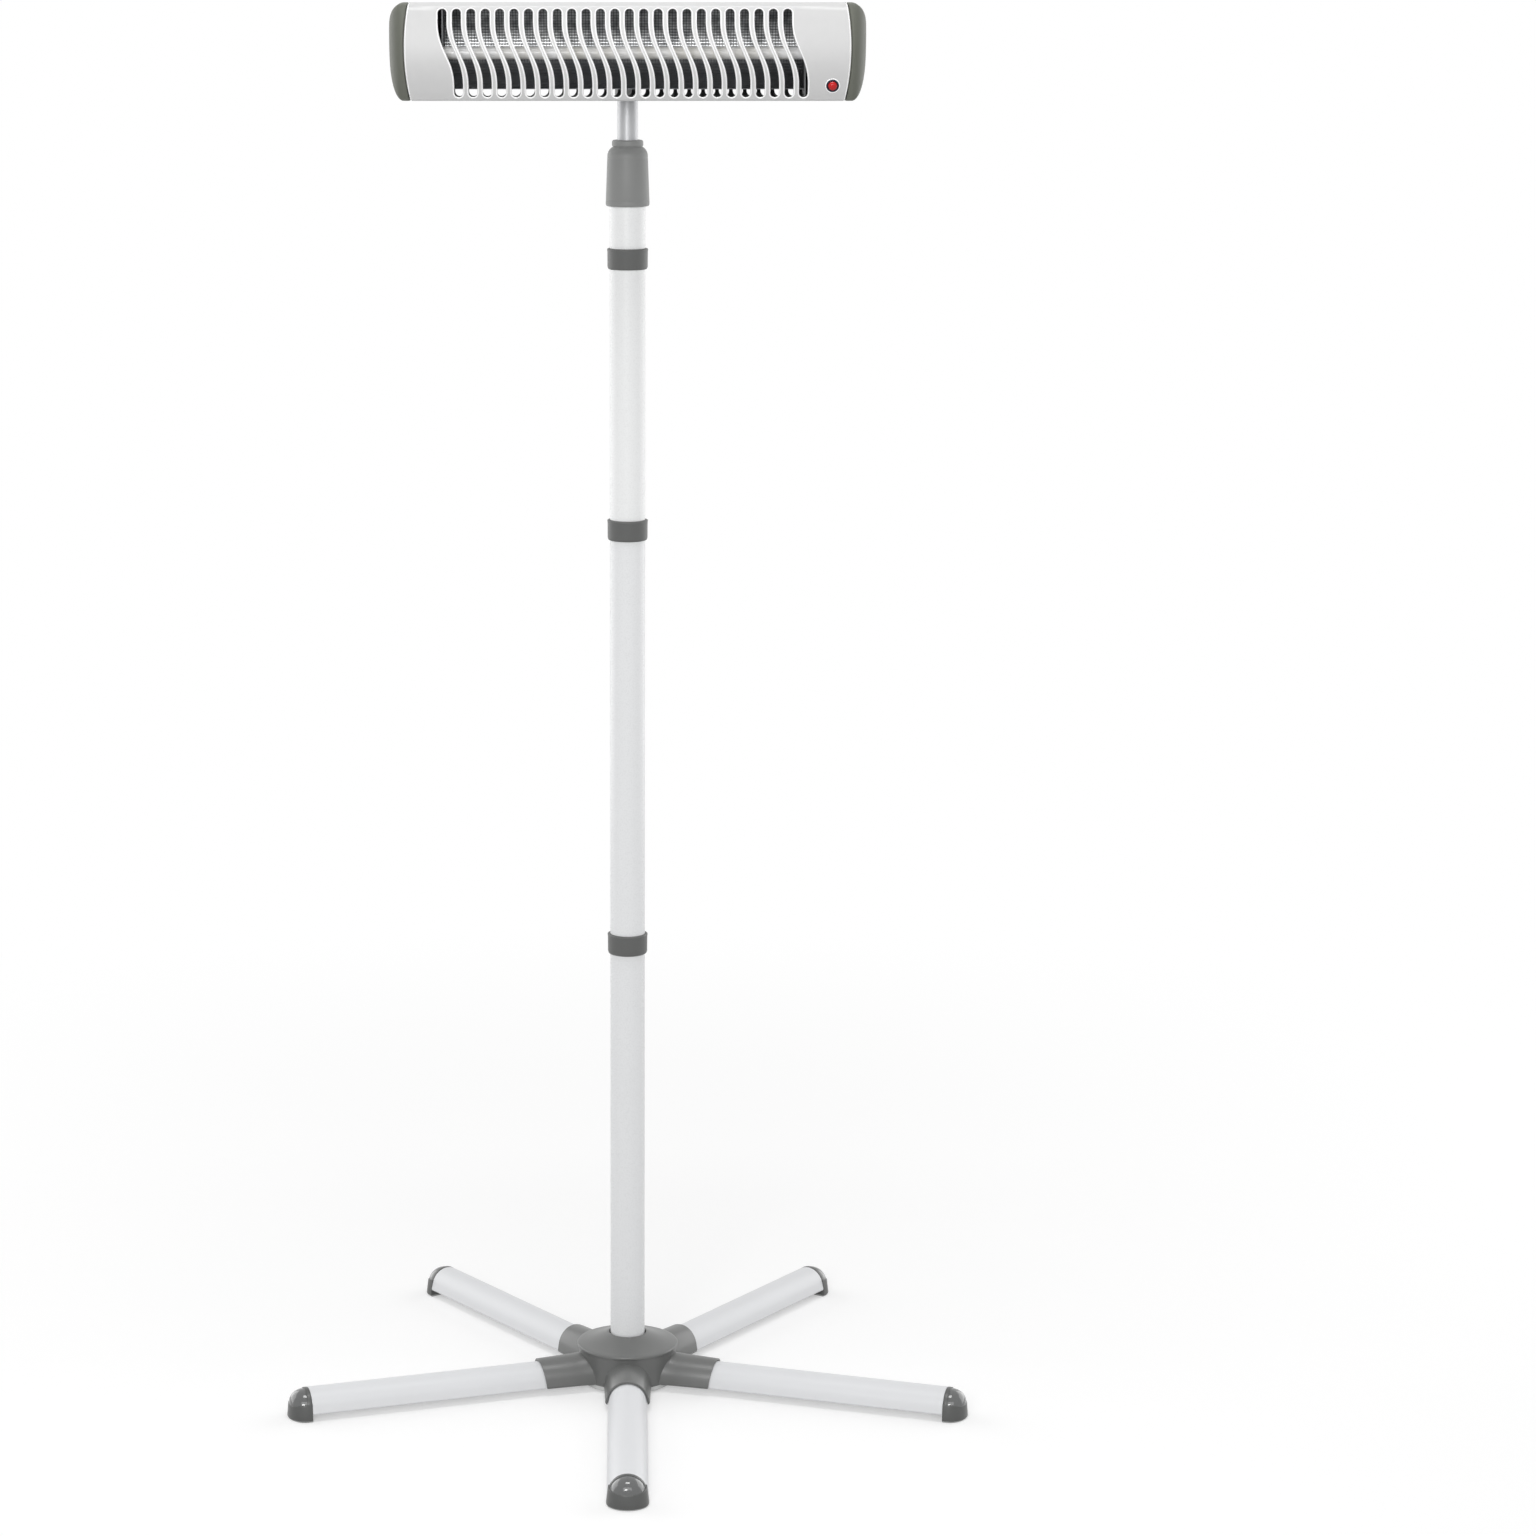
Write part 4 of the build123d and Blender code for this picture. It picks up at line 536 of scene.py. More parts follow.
class HeaterSizes(bpy.types.PropertyGroup):
    """Finer sizes of the dressed model, in metres."""

    leg_rounding: bpy.props.FloatProperty(
        name="Leg rounding", description="Radius along the lower edges of a leg tube",
        default=1.6 * MM, unit="LENGTH")
    lip_width: bpy.props.FloatProperty(
        name="Slot lip", description="Width of the rolled white lip round a slot",
        default=1.5 * MM, unit="LENGTH")
    casing_wall: bpy.props.FloatProperty(
        name="Casing wall", description="Depth of the rolled slot edges",
        default=2.4 * MM, unit="LENGTH")
    hub_rounding: bpy.props.FloatProperty(
        name="Hub rounding", description="Radius where the sockets meet the hub",
        default=1.2 * MM, unit="LENGTH")
    emboss_pitch: bpy.props.FloatProperty(
        name="Emboss pitch", description="Spacing of the pressed ribs of the reflector",
        default=3.2 * MM, unit="LENGTH")
    emboss_depth: bpy.props.FloatProperty(
        name="Emboss depth", description="Depth of those ribs",
        default=0.28 * MM, unit="LENGTH")


class HeaterStage(bpy.types.PropertyGroup):
    """Floor, lamps and camera."""

    floor_colour: bpy.props.FloatVectorProperty(
        name="Floor", description="Colour of the studio floor",
        default=linear("#F4F4F4")[:3], subtype="COLOR", size=3)
    key_power: bpy.props.FloatProperty(
        name="Side lamps", description="Power of each side lamp", default=34.0, unit="POWER")
    lens: bpy.props.FloatProperty(
        name="Lens", description="Focal length in millimetres", default=96.21, unit="CAMERA")


def sizes():
    return bpy.context.scene.heater_sizes


# ------------------------ star base


def arch_ring(grow, foot, crown, corner, count=28):
    """Round-backed section of a leg, grown in width, with its lower corners rounded."""
    half = (LEG_WIDTH + grow) / 2
    crown_half = half - LEG_DRAFT
    back = arc_points((crown_half, LEG_SHOULDER), (0, crown), (-crown_half, LEG_SHOULDER), count)
    cut_back = corner * 0.3
    right = [(half - corner, foot), (half - cut_back, foot + cut_back), (half, foot + corner)]
    left = [(-across, up) for across, up in reversed(right)]
    return right + back + left


def spread(blank, name, slot, solid):
    """One copy of a finished piece for each leg, each standing for its own solid."""
    for place, angle in LEG_ANGLES.items():
        copy = spun_copy(blank, f"{name}_{place}", angle)
        assign(copy, "base", slot, f"{solid}_{place}")
    discard(blank)


def along_x(section, reach, lean=0.0):
    """Section set across a leg that points along +X from the mast, upright or leaning out."""
    return [(reach + up * lean, MAST_Y + across, up) for across, up in section]


class HEATER_OT_legs(bpy.types.Operator):
    """Model the five leg tubes"""

    bl_idname = "heater.legs"
    bl_label = "Legs"

    def execute(self, context):
        corner = sizes().leg_rounding / MM
        wall, flank_wall, tip = 1.5, 1.7, LEG_SEAM - 0.2
        outer = arch_ring(0, LEG_LIFT, LEG_TOP, corner, 32)
        inner = arch_ring(-2 * flank_wall, LEG_LIFT + wall, LEG_TOP - wall, corner, 32)
        # the tip's edge is broken: the section draws in a little towards it
        rim = [(across * 0.99, LEG_LIFT + (up - LEG_LIFT) * 0.985 + 0.15) for across, up in outer]
        blank = lofted("leg_blank", [
            along_x(inner, LEG_START), along_x(outer, LEG_START), along_x(outer, tip - 0.7),
            along_x(rim, tip), along_x(inner, tip), along_x(inner, LEG_START),
        ], filled=False)
        with editing(blank):
            merge_all()
            face_outwards()
        paint(blank, "leg_coat")
        smooth(blank, 30)
        spread(blank, "leg_tube", "leg_paint", "leg")
        return {"FINISHED"}


SKIRT_BACK, SKIRT_FRONT = 20.5, 16.5   # height of a foot's skirt at the seam and at the tip
FOOT_NECK = 4.0                        # straight part of a foot behind its round nose
FOOT_NOSE = CAP_LENGTH - FOOT_NECK - 1.0


def foot_plan(grow_out, grow_side, up, count=28):
    """Ring at one height of the skirt: straight at the seam, round in front, falling to the tip."""
    half = LEG_WIDTH / 2 + grow_side
    fall = (SKIRT_BACK - SKIRT_FRONT) / CAP_LENGTH / SKIRT_BACK
    turns = [-pi / 2 + pi * k / count for k in range(count + 1)]
    spots = [(LEG_SEAM, -half)]
    spots += [
        (LEG_SEAM + FOOT_NECK + (FOOT_NOSE + grow_out) * cos(turn), half * sin(turn))
        for turn in turns
    ]
    spots.append((LEG_SEAM, half))
    return [
        (reach, MAST_Y + across, up * (1 - fall * (reach - LEG_SEAM))) for reach, across in spots
    ]


def foot_crown(scale, along, count=28):
    """Upright section of a foot above its skirt, scaled, at a distance from the seam."""
    half = LEG_WIDTH / 2 - LEG_DRAFT
    base = SKIRT_FRONT - 2.0
    arc = arc_points((half, LEG_SHOULDER), (0, LEG_TOP), (-half, LEG_SHOULDER), count)
    ring = [(across * scale, base + (up - base) * scale) for across, up in arc]
    ring += [(-half * scale, base), (half * scale, base)]
    return along_x(ring, LEG_SEAM + along)


class HEATER_OT_foot_caps(bpy.types.Operator):
    """Model the five foot caps: matte skirt, pale tread and polished dome"""

    bl_idname = "heater.foot_caps"
    bl_label = "Foot caps"

    def execute(self, context):
        crease, tread = SKIRT_BACK, 1.85
        bulge, steps, fullness = 0.955, 15, 0.8
        skirt = lofted("foot_skirt", [foot_plan(*spot) for spot in (
            # growth forwards, growth sideways, height
            (-3.4, -1.6, 0.0), (-1.6, -0.4, 0.4), (-0.9, 0.1, 1.1), (-0.8, 0.2, 1.8),
            (-1.0, 0.0, 2.0), (-0.2, 0.7, 2.3), (0.0, 0.8, 3.2), (-0.4, 0.1, 9.0),
            (-1.0, -1.2, crease - 1.2), (-1.3, -1.5, crease - 0.3), (-1.7, -2.0, crease),
            (-2.8, -3.2, crease - 0.1), (-3.2, -3.6, crease - 1.0),
        )])
        turns = [radians(90 * k / steps) for k in range(1, steps)]
        dome = lofted("foot_dome", [foot_crown(bulge, 1.0), foot_crown(bulge, FOOT_NECK)] + [
            foot_crown(bulge * cos(turn) ** fullness, FOOT_NECK + (FOOT_NOSE - 1.8) * sin(turn))
            for turn in turns
        ])
        collar = lofted("foot_collar", [foot_crown(*spot) for spot in (
            (0.93, 0.0), (1.0, 0.3), (1.004, 0.9), (1.0, 4.2), (0.98, 4.9), (0.92, 5.1),
        )])
        for piece in (skirt, dome, collar):
            paint(piece, "foot_matte", "foot_gloss", "foot_pad")
        paint_faces(dome, 1)
        paint_faces(skirt, 2, lambda face: face.center.z < tread * MM)
        pick(skirt)
        dome.select_set(True)
        collar.select_set(True)
        bpy.ops.object.join()
        smooth(skirt, 38)
        spread(skirt, "foot", "foot_plastic", "foot_cap")
        return {"FINISHED"}


class HEATER_OT_hub(bpy.types.Operator):
    """Model the hub with its five leg sockets"""

    bl_idname = "heater.hub"
    bl_label = "Hub"

    def execute(self, context):
        radius, rim, waist = 56.0, 46.0, 52.0
        bore, bore_floor = 20.4, 15.0
        lean, reach, blend = tan(radians(7.5)), 104.0, 0.65
        skirt = arc_points((waist, LEG_LIFT), (53.2, 27.0), (radius - 1.2, rim - 4.2), 14)
        edge = [
            (radius - 0.3, rim - 3.4), (radius, rim - 2.6), (radius, rim - 1.2),
            (radius - 0.5, rim - 0.4), (radius - 1.4, rim),
        ]
        cone = arc_points((radius - 2.6, rim + 0.4), (39.0, 50.0), (23.6, 56.4), 12)
        mouth_edge = [(22.2, 57.2), (21.2, 57.5), (20.6, 57.2), (bore, 56.4)]
        hub = turned(
            "hub_body",
            [(0, LEG_LIFT)] + skirt + edge + cone + mouth_edge
            + [(bore, bore_floor), (0, bore_floor)])

        # a socket narrows from the hub to its mouth, and its mouth leans outwards
        root = arch_ring(12, LEG_LIFT, LEG_TOP + 7, 1.0)
        mouth = arch_ring(6, LEG_LIFT, LEG_TOP + 3, 3.0)
        between = [
            (a * (1 - blend) + b * blend, c * (1 - blend) + d * blend)
            for (a, c), (b, d) in zip(root, mouth)
        ]
        socket = lofted("hub_socket", [
            along_x(root, 26.0), along_x(between, 60.0, lean),
            along_x(mouth, reach - (LEG_TOP + 3) * lean - 0.01, lean),
        ])
        pocket = arch_ring(1.6, LEG_LIFT - 2, LEG_TOP + 0.8, 0.4)
        hollow = lofted("hub_pocket", [along_x(pocket, LEG_START - 0.3), along_x(pocket, 130)])
        mast_bore = turned("hub_bore", [(0, bore_floor), (bore, bore_floor), (bore, 70), (0, 70)])
        for tool, operation in ((socket, "UNION"), (hollow, "DIFFERENCE")):
            for place, angle in LEG_ANGLES.items():
                cut(hub, spun_copy(tool, f"{tool.name}_{place}", angle), operation)
            discard(tool)
        cut(hub, mast_bore)
        with editing(hub):
            merge_all(0.02)
        round_edges(hub, sizes().hub_rounding / MM, 3, 32)
        complete(hub, "hub_nylon", 40, "base", "base_plastic", "hub")
        return {"FINISHED"}


# ------------------------ mast


def tube_section(bore, radius, bottom, top, broken):
    """Half section of a tube with its outer edges broken."""
    return [
        (bore, bottom), (radius - broken, bottom), (radius, bottom + broken),
        (radius, top - broken), (radius - broken, top), (bore, top),
    ]


class HEATER_OT_mast(bpy.types.Operator):
    """Model the mast tubes, their couplers and the inner tube"""

    bl_idname = "heater.mast"
    bl_label = "Mast"

    def execute(self, context):
        for part in ("lower", "middle", "upper", "top"):
            node = f"mast_tube_{part}"
            bottom, top = low(node).z, high(node).z
            tube = turned(f"tube_{part}", tube_section(17.8, 19.0, bottom, top, 0.3))
            # each tube's copy of the coat is a step greyer further down: painted shade
            complete(tube, f"mast_coat_{part}", 35, "base", "mast_paint", node)
        for part in ("lower", "middle", "upper"):
            node = f"coupler_{part}"
            start, stop = low(node).z, low(node).z + 2 * SPIGOT_LENGTH + COLLAR_HEIGHT
            bottom, top = start + SPIGOT_LENGTH, stop - SPIGOT_LENGTH
            spigot, r = 17.65, COLLAR_RADIUS
            collar = turned(f"collar_{part}", [
                (15.05, start), (spigot - 1, start), (spigot, start + 2),
                (spigot, bottom - 0.1), (18.9, bottom - 0.1), (19.2, bottom + 0.1),
                (20.2, bottom + 0.1), (20.9, bottom + 0.7), (21.3, bottom + 1.8),
                (r - 0.45, bottom + 2.6), (r - 0.35, top - 2.6), (r - 0.1, top - 1.9),
                (r, top - 1.2), (r - 0.15, top - 0.5), (r - 0.7, top - 0.1), (19.4, top),
                (19.15, top - 0.5), (18.9, top - 0.1), (spigot, top - 0.1),
                (spigot, stop - 2), (spigot - 1, stop), (15.05, stop),
            ])
            complete(collar, "collar_abs", 32, "base", "collar_plastic", node)
        bottom, top = low("inner_tube").z, high("inner_tube").z
        tube = turned("tube_inner", tube_section(9.8, 11.0, bottom, top, 0.2), steps=COARSE)
        complete(tube, "anodised", 35, "inner_mast", "inner_tube_paint", "inner_tube")
        return {"FINISHED"}


class HEATER_OT_clamp(bpy.types.Operator):
    """Model the twist clamp"""

    bl_idname = "heater.clamp"
    bl_label = "Twist clamp"

    def execute(self, context):
        bottom, top = low("clamp_sleeve").z, high("clamp_sleeve").z
        foot, mouth, bore = 23.4, 11.3, 19.3
        ring = [
            (bore, bottom + 1.2), (19.9, bottom + 0.2), (21.6, bottom), (22.7, bottom + 0.5),
            (23.2, bottom + 1.4), (foot, bottom + 2.8), (foot - 0.1, bottom + 5.6),
            (foot - 0.28, bottom + 6.0), (foot - 0.16, bottom + 6.4),
        ]
        waist = [(21.66, top - 19.4), (21.5, top - 18.9), (21.6, top - 18.5)]
        shoulder = arc_points((21.55, top - 17.6), (20.6, top - 12.4), (16.0, top - 7.3), 10)
        head = [
            (15.85, top - 6.9), (16.0, top - 6.5), (16.5, top - 6.1), (16.7, top - 5.4),
            (16.7, top - 2.2), (16.3, top - 0.9), (15.4, top - 0.2), (14.6, top), (11.8, top),
        ]
        inside = [
            (mouth, top - 0.5), (mouth, top - 9.4), (14.1, top - 9.4), (16.1, top - 33.6),
            (bore, top - 33.6),
        ]
        sleeve = turned("clamp_turned_sleeve", ring + waist + shoulder + head + inside)
        complete(sleeve, "grey_abs", 32, "clamp_sleeve", "collar_plastic", "clamp_sleeve")
        return {"FINISHED"}


# ------------------------ head

SLOT_COUNT = 25
SLOT_HEIGHT, SLOT_WIDTH = 90.0, 8.9
SLOT_SHIFT = 16.6                      # how far a slot's top and bottom lie apart
SLOT_BEND = 62.0                       # radius of its two bends
SLOT_SLANT = radians(24.0)             # lean of the straight run between them
SLOT_PITCH = (2 * HALF_LENGTH - 138.8) / (SLOT_COUNT - 1)   # 138.8 mm stay free of slots
ROW_ALONG, ROW_UP = -4.8, -0.7         # middle of the row of slots
HALF_ROW = (SLOT_COUNT - 1) / 2 * SLOT_PITCH


def head_point(x, back, up):
    """A place on the head: along it, back from the seam and up from its middle."""
    return Vector((x, SEAM_Y + back, HEAD_Z + up))


def seam_at(up):
    """Half length of the casing at a height above the head's middle: the curved end seam."""
    spots = arc_points(
        (SEAM_TOP, HALF_HEIGHT), (SEAM_MIDDLE, 0.0), (SEAM_BOTTOM, -HALF_HEIGHT), 60)
    for (x0, z0), (x1, z1) in zip(spots, spots[1:]):
        if z1 <= up <= z0:
            return x0 + (x1 - x0) * (up - z0) / (z1 - z0)
    return SEAM_TOP if up > 0 else SEAM_BOTTOM


def casing_profile():
    """Side outline of the casing from its top edge round the face to its lower edge."""
    face = HALF_HEIGHT - 3.0
    flank = 8.5 - FRONT_DEPTH
    bevel = flank + 5.0
    shoulder = HALF_HEIGHT - 0.8
    front = arc_points((flank, face), (-FRONT_DEPTH, 0), (flank, -face), 34)
    upper = [
        (0, HALF_HEIGHT), (bevel + 0.7, shoulder), (bevel - 0.5, shoulder - 0.15),
        (flank + 0.5, face + 0.45),
    ]
    lower = [(back, -up) for back, up in reversed(upper)]
    # the outermost strips are broad, so that the slots' ends and their lips lie within them
    return upper + front[2:-2] + lower


def casing_shell():
    """The casing before it is punched: its outline drawn out to the curved end seams."""
    with drawing("casing_shell") as casing:
        draw_run([head_point(-SEAM_MIDDLE, back, up) for back, up in casing_profile()])
        bpy.ops.mesh.select_all(action="SELECT")
        bpy.ops.mesh.extrude_region_move(
            TRANSFORM_OT_translate={"value": (2 * SEAM_MIDDLE * MM, 0, 0)})
    for vertex in casing.data.vertices:
        reach = (seam_at(vertex.co.z / MM - HEAD_Z) - SEAM_GAP) * MM
        vertex.co.x = reach if vertex.co.x > 0 else -reach
    with editing(casing):
        face_outwards()
    # an open sheet has no inside, so its facing is settled by the middle of its face
    middle_face = min(casing.data.polygons, key=lambda face: abs(face.center.z - HEAD_Z * MM))
    if middle_face.normal.y > 0:
        with editing(casing):
            bpy.ops.mesh.select_all(action="SELECT")
            bpy.ops.mesh.flip_normals()
    modify(
        casing, "SOLIDIFY", thickness=sizes().casing_wall, offset=-1.0, use_even_offset=True)
    smooth(casing, 32)
    return casing


def slot_outline():
    """One S-shaped slot, drawn as by its own pen line and given its width."""
    half_run = (SLOT_HEIGHT - SLOT_WIDTH) / 2
    slant_run = (SLOT_SHIFT - 2 * SLOT_BEND * (1 - cos(SLOT_SLANT))) / sin(SLOT_SLANT)
    bend_height = SLOT_BEND * sin(SLOT_SLANT) + slant_run / 2 * cos(SLOT_SLANT)
    edge, half_width, steps = -SLOT_SHIFT / 2, SLOT_WIDTH / 2, 8
    line = [(edge, half_run), (edge, (half_run + bend_height) / 2)]
    for k in range(steps + 1):
        turn = SLOT_SLANT * k / steps
        line.append((edge + SLOT_BEND * (1 - cos(turn)), bend_height - SLOT_BEND * sin(turn)))
    line += [(-across, -up) for across, up in reversed(line)]
    left, right = [], []
    for k, (across, up) in enumerate(line):
        before, after = line[max(k - 1, 0)], line[min(k + 1, len(line) - 1)]
        length = hypot(after[0] - before[0], after[1] - before[1])
        side = ((after[1] - before[1]) / length, -(after[0] - before[0]) / length)
        left.append((across + side[0] * half_width, up + side[1] * half_width))
        right.append((across - side[0] * half_width, up - side[1] * half_width))
    top_end = [
        (edge + half_width * cos(radians(a)), half_run + half_width * sin(radians(a)))
        for a in range(15, 180, 15)
    ]
    bottom_end = [(-across, -up) for across, up in top_end]
    return right[::-1] + top_end + left + bottom_end


def punch(casing):
    """Cut the row of slots and the button's hole."""
    outline = slot_outline()
    cutter = lofted("slot_cutter", [
        [head_point(ROW_ALONG - HALF_ROW + across, back, ROW_UP + up) for across, up in outline]
        for back in (-FRONT_DEPTH - 4, -FRONT_DEPTH + 16)
    ])
    modify(
        cutter, "ARRAY", count=SLOT_COUNT, use_relative_offset=False, use_constant_offset=True,
        constant_offset_displace=(SLOT_PITCH * MM, 0, 0))
    cut(casing, cutter)
    hole, depth, height = 6.2, -12, 20
    cut(casing, turned(
        "button_hole", [(0, depth), (hole, depth), (hole, height), (0, height)],
        middle("button_bezel"), BUTTON_AXIS, steps=40))


def select_rolled_edges(casing, core):
    """Select the front edges of the slots and the outer end edges of the casing."""
    with editing(casing):
        merge_all(0.01)
        bpy.ops.mesh.select_mode(type="EDGE")
        bpy.ops.mesh.select_all(action="DESELECT")
    mesh = casing.data
    sides = {}
    for face in mesh.polygons:
        for key in face.edge_keys:
            sides.setdefault(key, []).append(face.normal.copy())
    row_end, face_start = HALF_ROW + 16, SEAM_Y - 36
    for edge in mesh.edges:
        spot = (mesh.vertices[edge.vertices[0]].co + mesh.vertices[edge.vertices[1]].co) / 2
        normals = sides[tuple(sorted(edge.vertices))]
        punched = any(n.y < -0.7 for n in normals) and any(abs(n.y) < 0.3 for n in normals)
        in_row = abs(spot.x / MM - ROW_ALONG) < row_end and spot.y / MM < face_start
        outer = any(abs(n.x) > 0.9 for n in normals) and any(
            abs(n.x) < 0.2 and n.dot(spot - core) > 0 for n in normals)
        at_end = abs(spot.x) / MM > SEAM_BOTTOM - 4
        edge.select = (punched and in_row) or (outer and at_end)


class HEATER_OT_casing(bpy.types.Operator):
    """Model the casing with its S-shaped slots and their rolled lips, painted white as a highlight
    """

    bl_idname = "heater.casing"
    bl_label = "Casing"

    def execute(self, context):
        casing = casing_shell()
        uncut = casing.copy()
        uncut.data = casing.data.copy()
        context.collection.objects.link(uncut)
        core = head_point(0, 5, 0) * MM

        def off_shell(spot):
            """Way from a spot to the nearest one on the shell before it was punched."""
            return uncut.closest_point_on_mesh(spot)[1] - spot

        def inside(face):
            """A face of the shell's inner side looks towards the middle of the head."""
            inward = Vector((0, core.y - face.center.y, core.z - face.center.z))
            on_shell = off_shell(face.center).length < 0.05 * MM
            return abs(face.normal.x) < 0.2 and on_shell and face.normal.dot(inward) > 0

        punch(casing)
        select_rolled_edges(casing, core)
        paint(casing, "casing_coat", "lip_coat", "primer")
        paint_faces(casing, 2, inside)
        with editing(casing):
            # the bevelled lips get the white finish: painted highlight
            bpy.ops.mesh.bevel(
                offset=sizes().lip_width, offset_type="OFFSET", segments=3, profile=0.5,
                affect="EDGES", clamp_overlap=False, material=1)
            bpy.ops.mesh.select_mode(type="VERT")
        smooth(casing, 32)
        modify(casing, "WEIGHTED_NORMAL", weight=90, keep_sharp=True)

        # the skin left between the slots keeps the uncut shell's shading, up to its rear edge
        skin = casing.vertex_groups.new(name="skin")
        skin.add([
            vertex.index for vertex in casing.data.vertices
            if off_shell(vertex.co).length < 0.02 * MM and vertex.co.y < (SEAM_Y - 1) * MM
        ], 1.0, "REPLACE")
        modify(
            casing, "DATA_TRANSFER", object=uncut, use_loop_data=True,
            data_types_loops={"CUSTOM_NORMAL"}, loop_mapping="POLYINTERP_NEAREST",
            vertex_group="skin")
        discard(uncut)
        assign(casing, "head", "casing_paint", "front_casing")
        return {"FINISHED"}


def whole_profile(count=30):
    """Side outline of the complete head: face, bevels and round back."""
    back = arc_points((0, -HALF_HEIGHT), (COVER_DEPTH, 0), (0, HALF_HEIGHT), count)
    return casing_profile() + back[1:-1]


def cap_ring(side, grow, scale=1.0, reach=None, step=0.0):
    """The head's outline grown and scaled, at a reach or at a step out from the end seam."""
    ring = []
    for back, up in whole_profile():
        shrink = scale * (1 + grow / hypot(back, up))
        x = (seam_at(up) + SEAM_GAP + step) if reach is None else reach
        ring.append(head_point(side * x, back * shrink, up * shrink + 20 * (1 - scale)))
    return ring


class HEATER_OT_end_caps(bpy.types.Operator):
    """Model the two domed end caps"""

    bl_idname = "heater.end_caps"
    bl_label = "End caps"

    def execute(self, context):
        start, fullness = SEAM_MIDDLE + 1.0, 0.74
        turns = [radians(a) for a in (4, 12, 20, 28, 36, 44, 52, 60, 67, 73, 78, 82, 86)]
        for side, name in ((-1, "left"), (1, "right")):
            rings = [cap_ring(side, grow, step=step) for grow, step in (
                (-3.2, -5.0), (-3.2, 0.5), (-0.7, 0.5), (-0.25, 0.75), (0.0, 1.4),
            )]
            rings += [
                cap_ring(side, 0, cos(turn) ** fullness, start + (HALF_LENGTH - start) * sin(turn))
                for turn in turns
            ]
            cap = lofted(f"cap_{name}", rings)
            smooth(cap, 40)
            # the tongue inside the seam takes the near-black finish: painted shade
            paint(cap, "end_cap", "dark_gap")
            paint_faces(cap, 1, lambda face: abs(face.center.x) / MM < SEAM_BOTTOM + 0.4)
            assign(cap, "head", "end_cap_plastic", f"end_cap_{name}")
        return {"FINISHED"}


class HEATER_OT_rear_cover(bpy.types.Operator):
    """Soften the rear cover's edges"""

    bl_idname = "heater.rear_cover"
    bl_label = "Rear cover"

    def execute(self, context):
        soften("rear_cover", "cover_shell", "cover", 0.45, "head", "cover_plastic")
        return {"FINISHED"}


class HEATER_OT_element(bpy.types.Operator):
    """Model the reflector trough and the quartz tube in it"""

    bl_idname = "heater.element"
    bl_label = "Heating element"

    def execute(self, context):
        self.model_trough()
        left, right, centre = low("quartz_tube"), high("quartz_tube"), middle("quartz_tube")
        half = (right.x - left.x) / 2
        quartz = turned(
            "quartz_sleeve", tube_section(5.3, 6.5, -half, half, 0.2),
            centre, ALONG_X, UP, COARSE)
        complete(quartz, "quartz", 35, "head", "milky_quartz", "quartz_tube")
        return {"FINISHED"}

    def model_trough(self):
        """A sheet curved about the tube, with fine ribs pressed along it."""
        sheet, steps = 0.7, 220
        pitch, depth = sizes().emboss_pitch / MM, sizes().emboss_depth / MM
        mouth, back = low("reflector").y - SEAM_Y, 14.0
        top, bottom = HALF_HEIGHT - 6.5, 13.5 - HALF_HEIGHT
        rise, sag, middle_up = (top - bottom) / 2, back - mouth, (top + bottom) / 2
        run = arc_points((mouth, top), (back, middle_up), (mouth, bottom), steps)
        length = sum(hypot(b[0] - a[0], b[1] - a[1]) for a, b in zip(run, run[1:]))
        radius = (rise**2 + sag**2) / (2 * sag)
        inner, outer = [], []
        for k, (y, z) in enumerate(run):
            wave = 0.5 - 0.5 * cos(2 * pi * length * k / steps / pitch)
            off = (y - back + radius) / radius, (z - middle_up) / radius
            inner.append((y + off[0] * depth * wave, z + off[1] * depth * wave))
            outer.append((y + off[0] * sheet, z + off[1] * sheet))
        trough = lofted("reflector_trough", [
            [head_point(x, y, z) for y, z in inner + outer[::-1]]
            for x in (low("reflector").x, high("reflector").x)
        ])
        complete(trough, "reflector", 60, "head", "reflector_sheet", "reflector")


class HEATER_OT_button(bpy.types.Operator):
    """Model the push button, its bezel and the ring round them, painted white as a highlight"""

    bl_idname = "heater.button"
    bl_label = "Push button"

    def execute(self, context):
        sunk = FACE_RADIUS * (1 - cos(BUTTON_SLOPE))
        place = head_point(middle("button_bezel").x, sunk - FRONT_DEPTH, -BUTTON_DROP)
        bore, lens = 4.95, 4.7
        pieces = (
            ("button_ring", "navy", [
                (bore, -9), (6.0, -9), (6.0, 0.05), (6.5, 0.05), (6.65, 0.3), (6.5, 0.8),
                (6.0, 1.25), (5.5, 1.4), (5.1, 1.3), (bore, 0.9),
            ], "head", "bezel_plastic", "button_bezel"),
            # white ring round the bezel: painted highlight
            ("button_surround", "lip_coat", [
                (6.4, -0.4), (7.7, -0.4), (7.7, -0.05), (7.4, 0.2), (6.9, 0.3), (6.5, 0.25),
                (6.4, 0.1),
            ], "head", "casing_paint"),
            ("button_lens", "lens", [
                (0, -14), (2.6, -14), (2.6, -7), (lens, -7), (lens, 1.6),
            ] + arc_points((lens - 0.2, 2.0), (3.2, 3.3), (0, 3.95), 10),
                "power_button", "button_red", "power_button"),
        )
        for name, coat, profile, *stated in pieces:
            piece = turned(name, profile, place, BUTTON_AXIS, steps=COARSE)
            complete(piece, coat, 40, *stated)
        return {"FINISHED"}


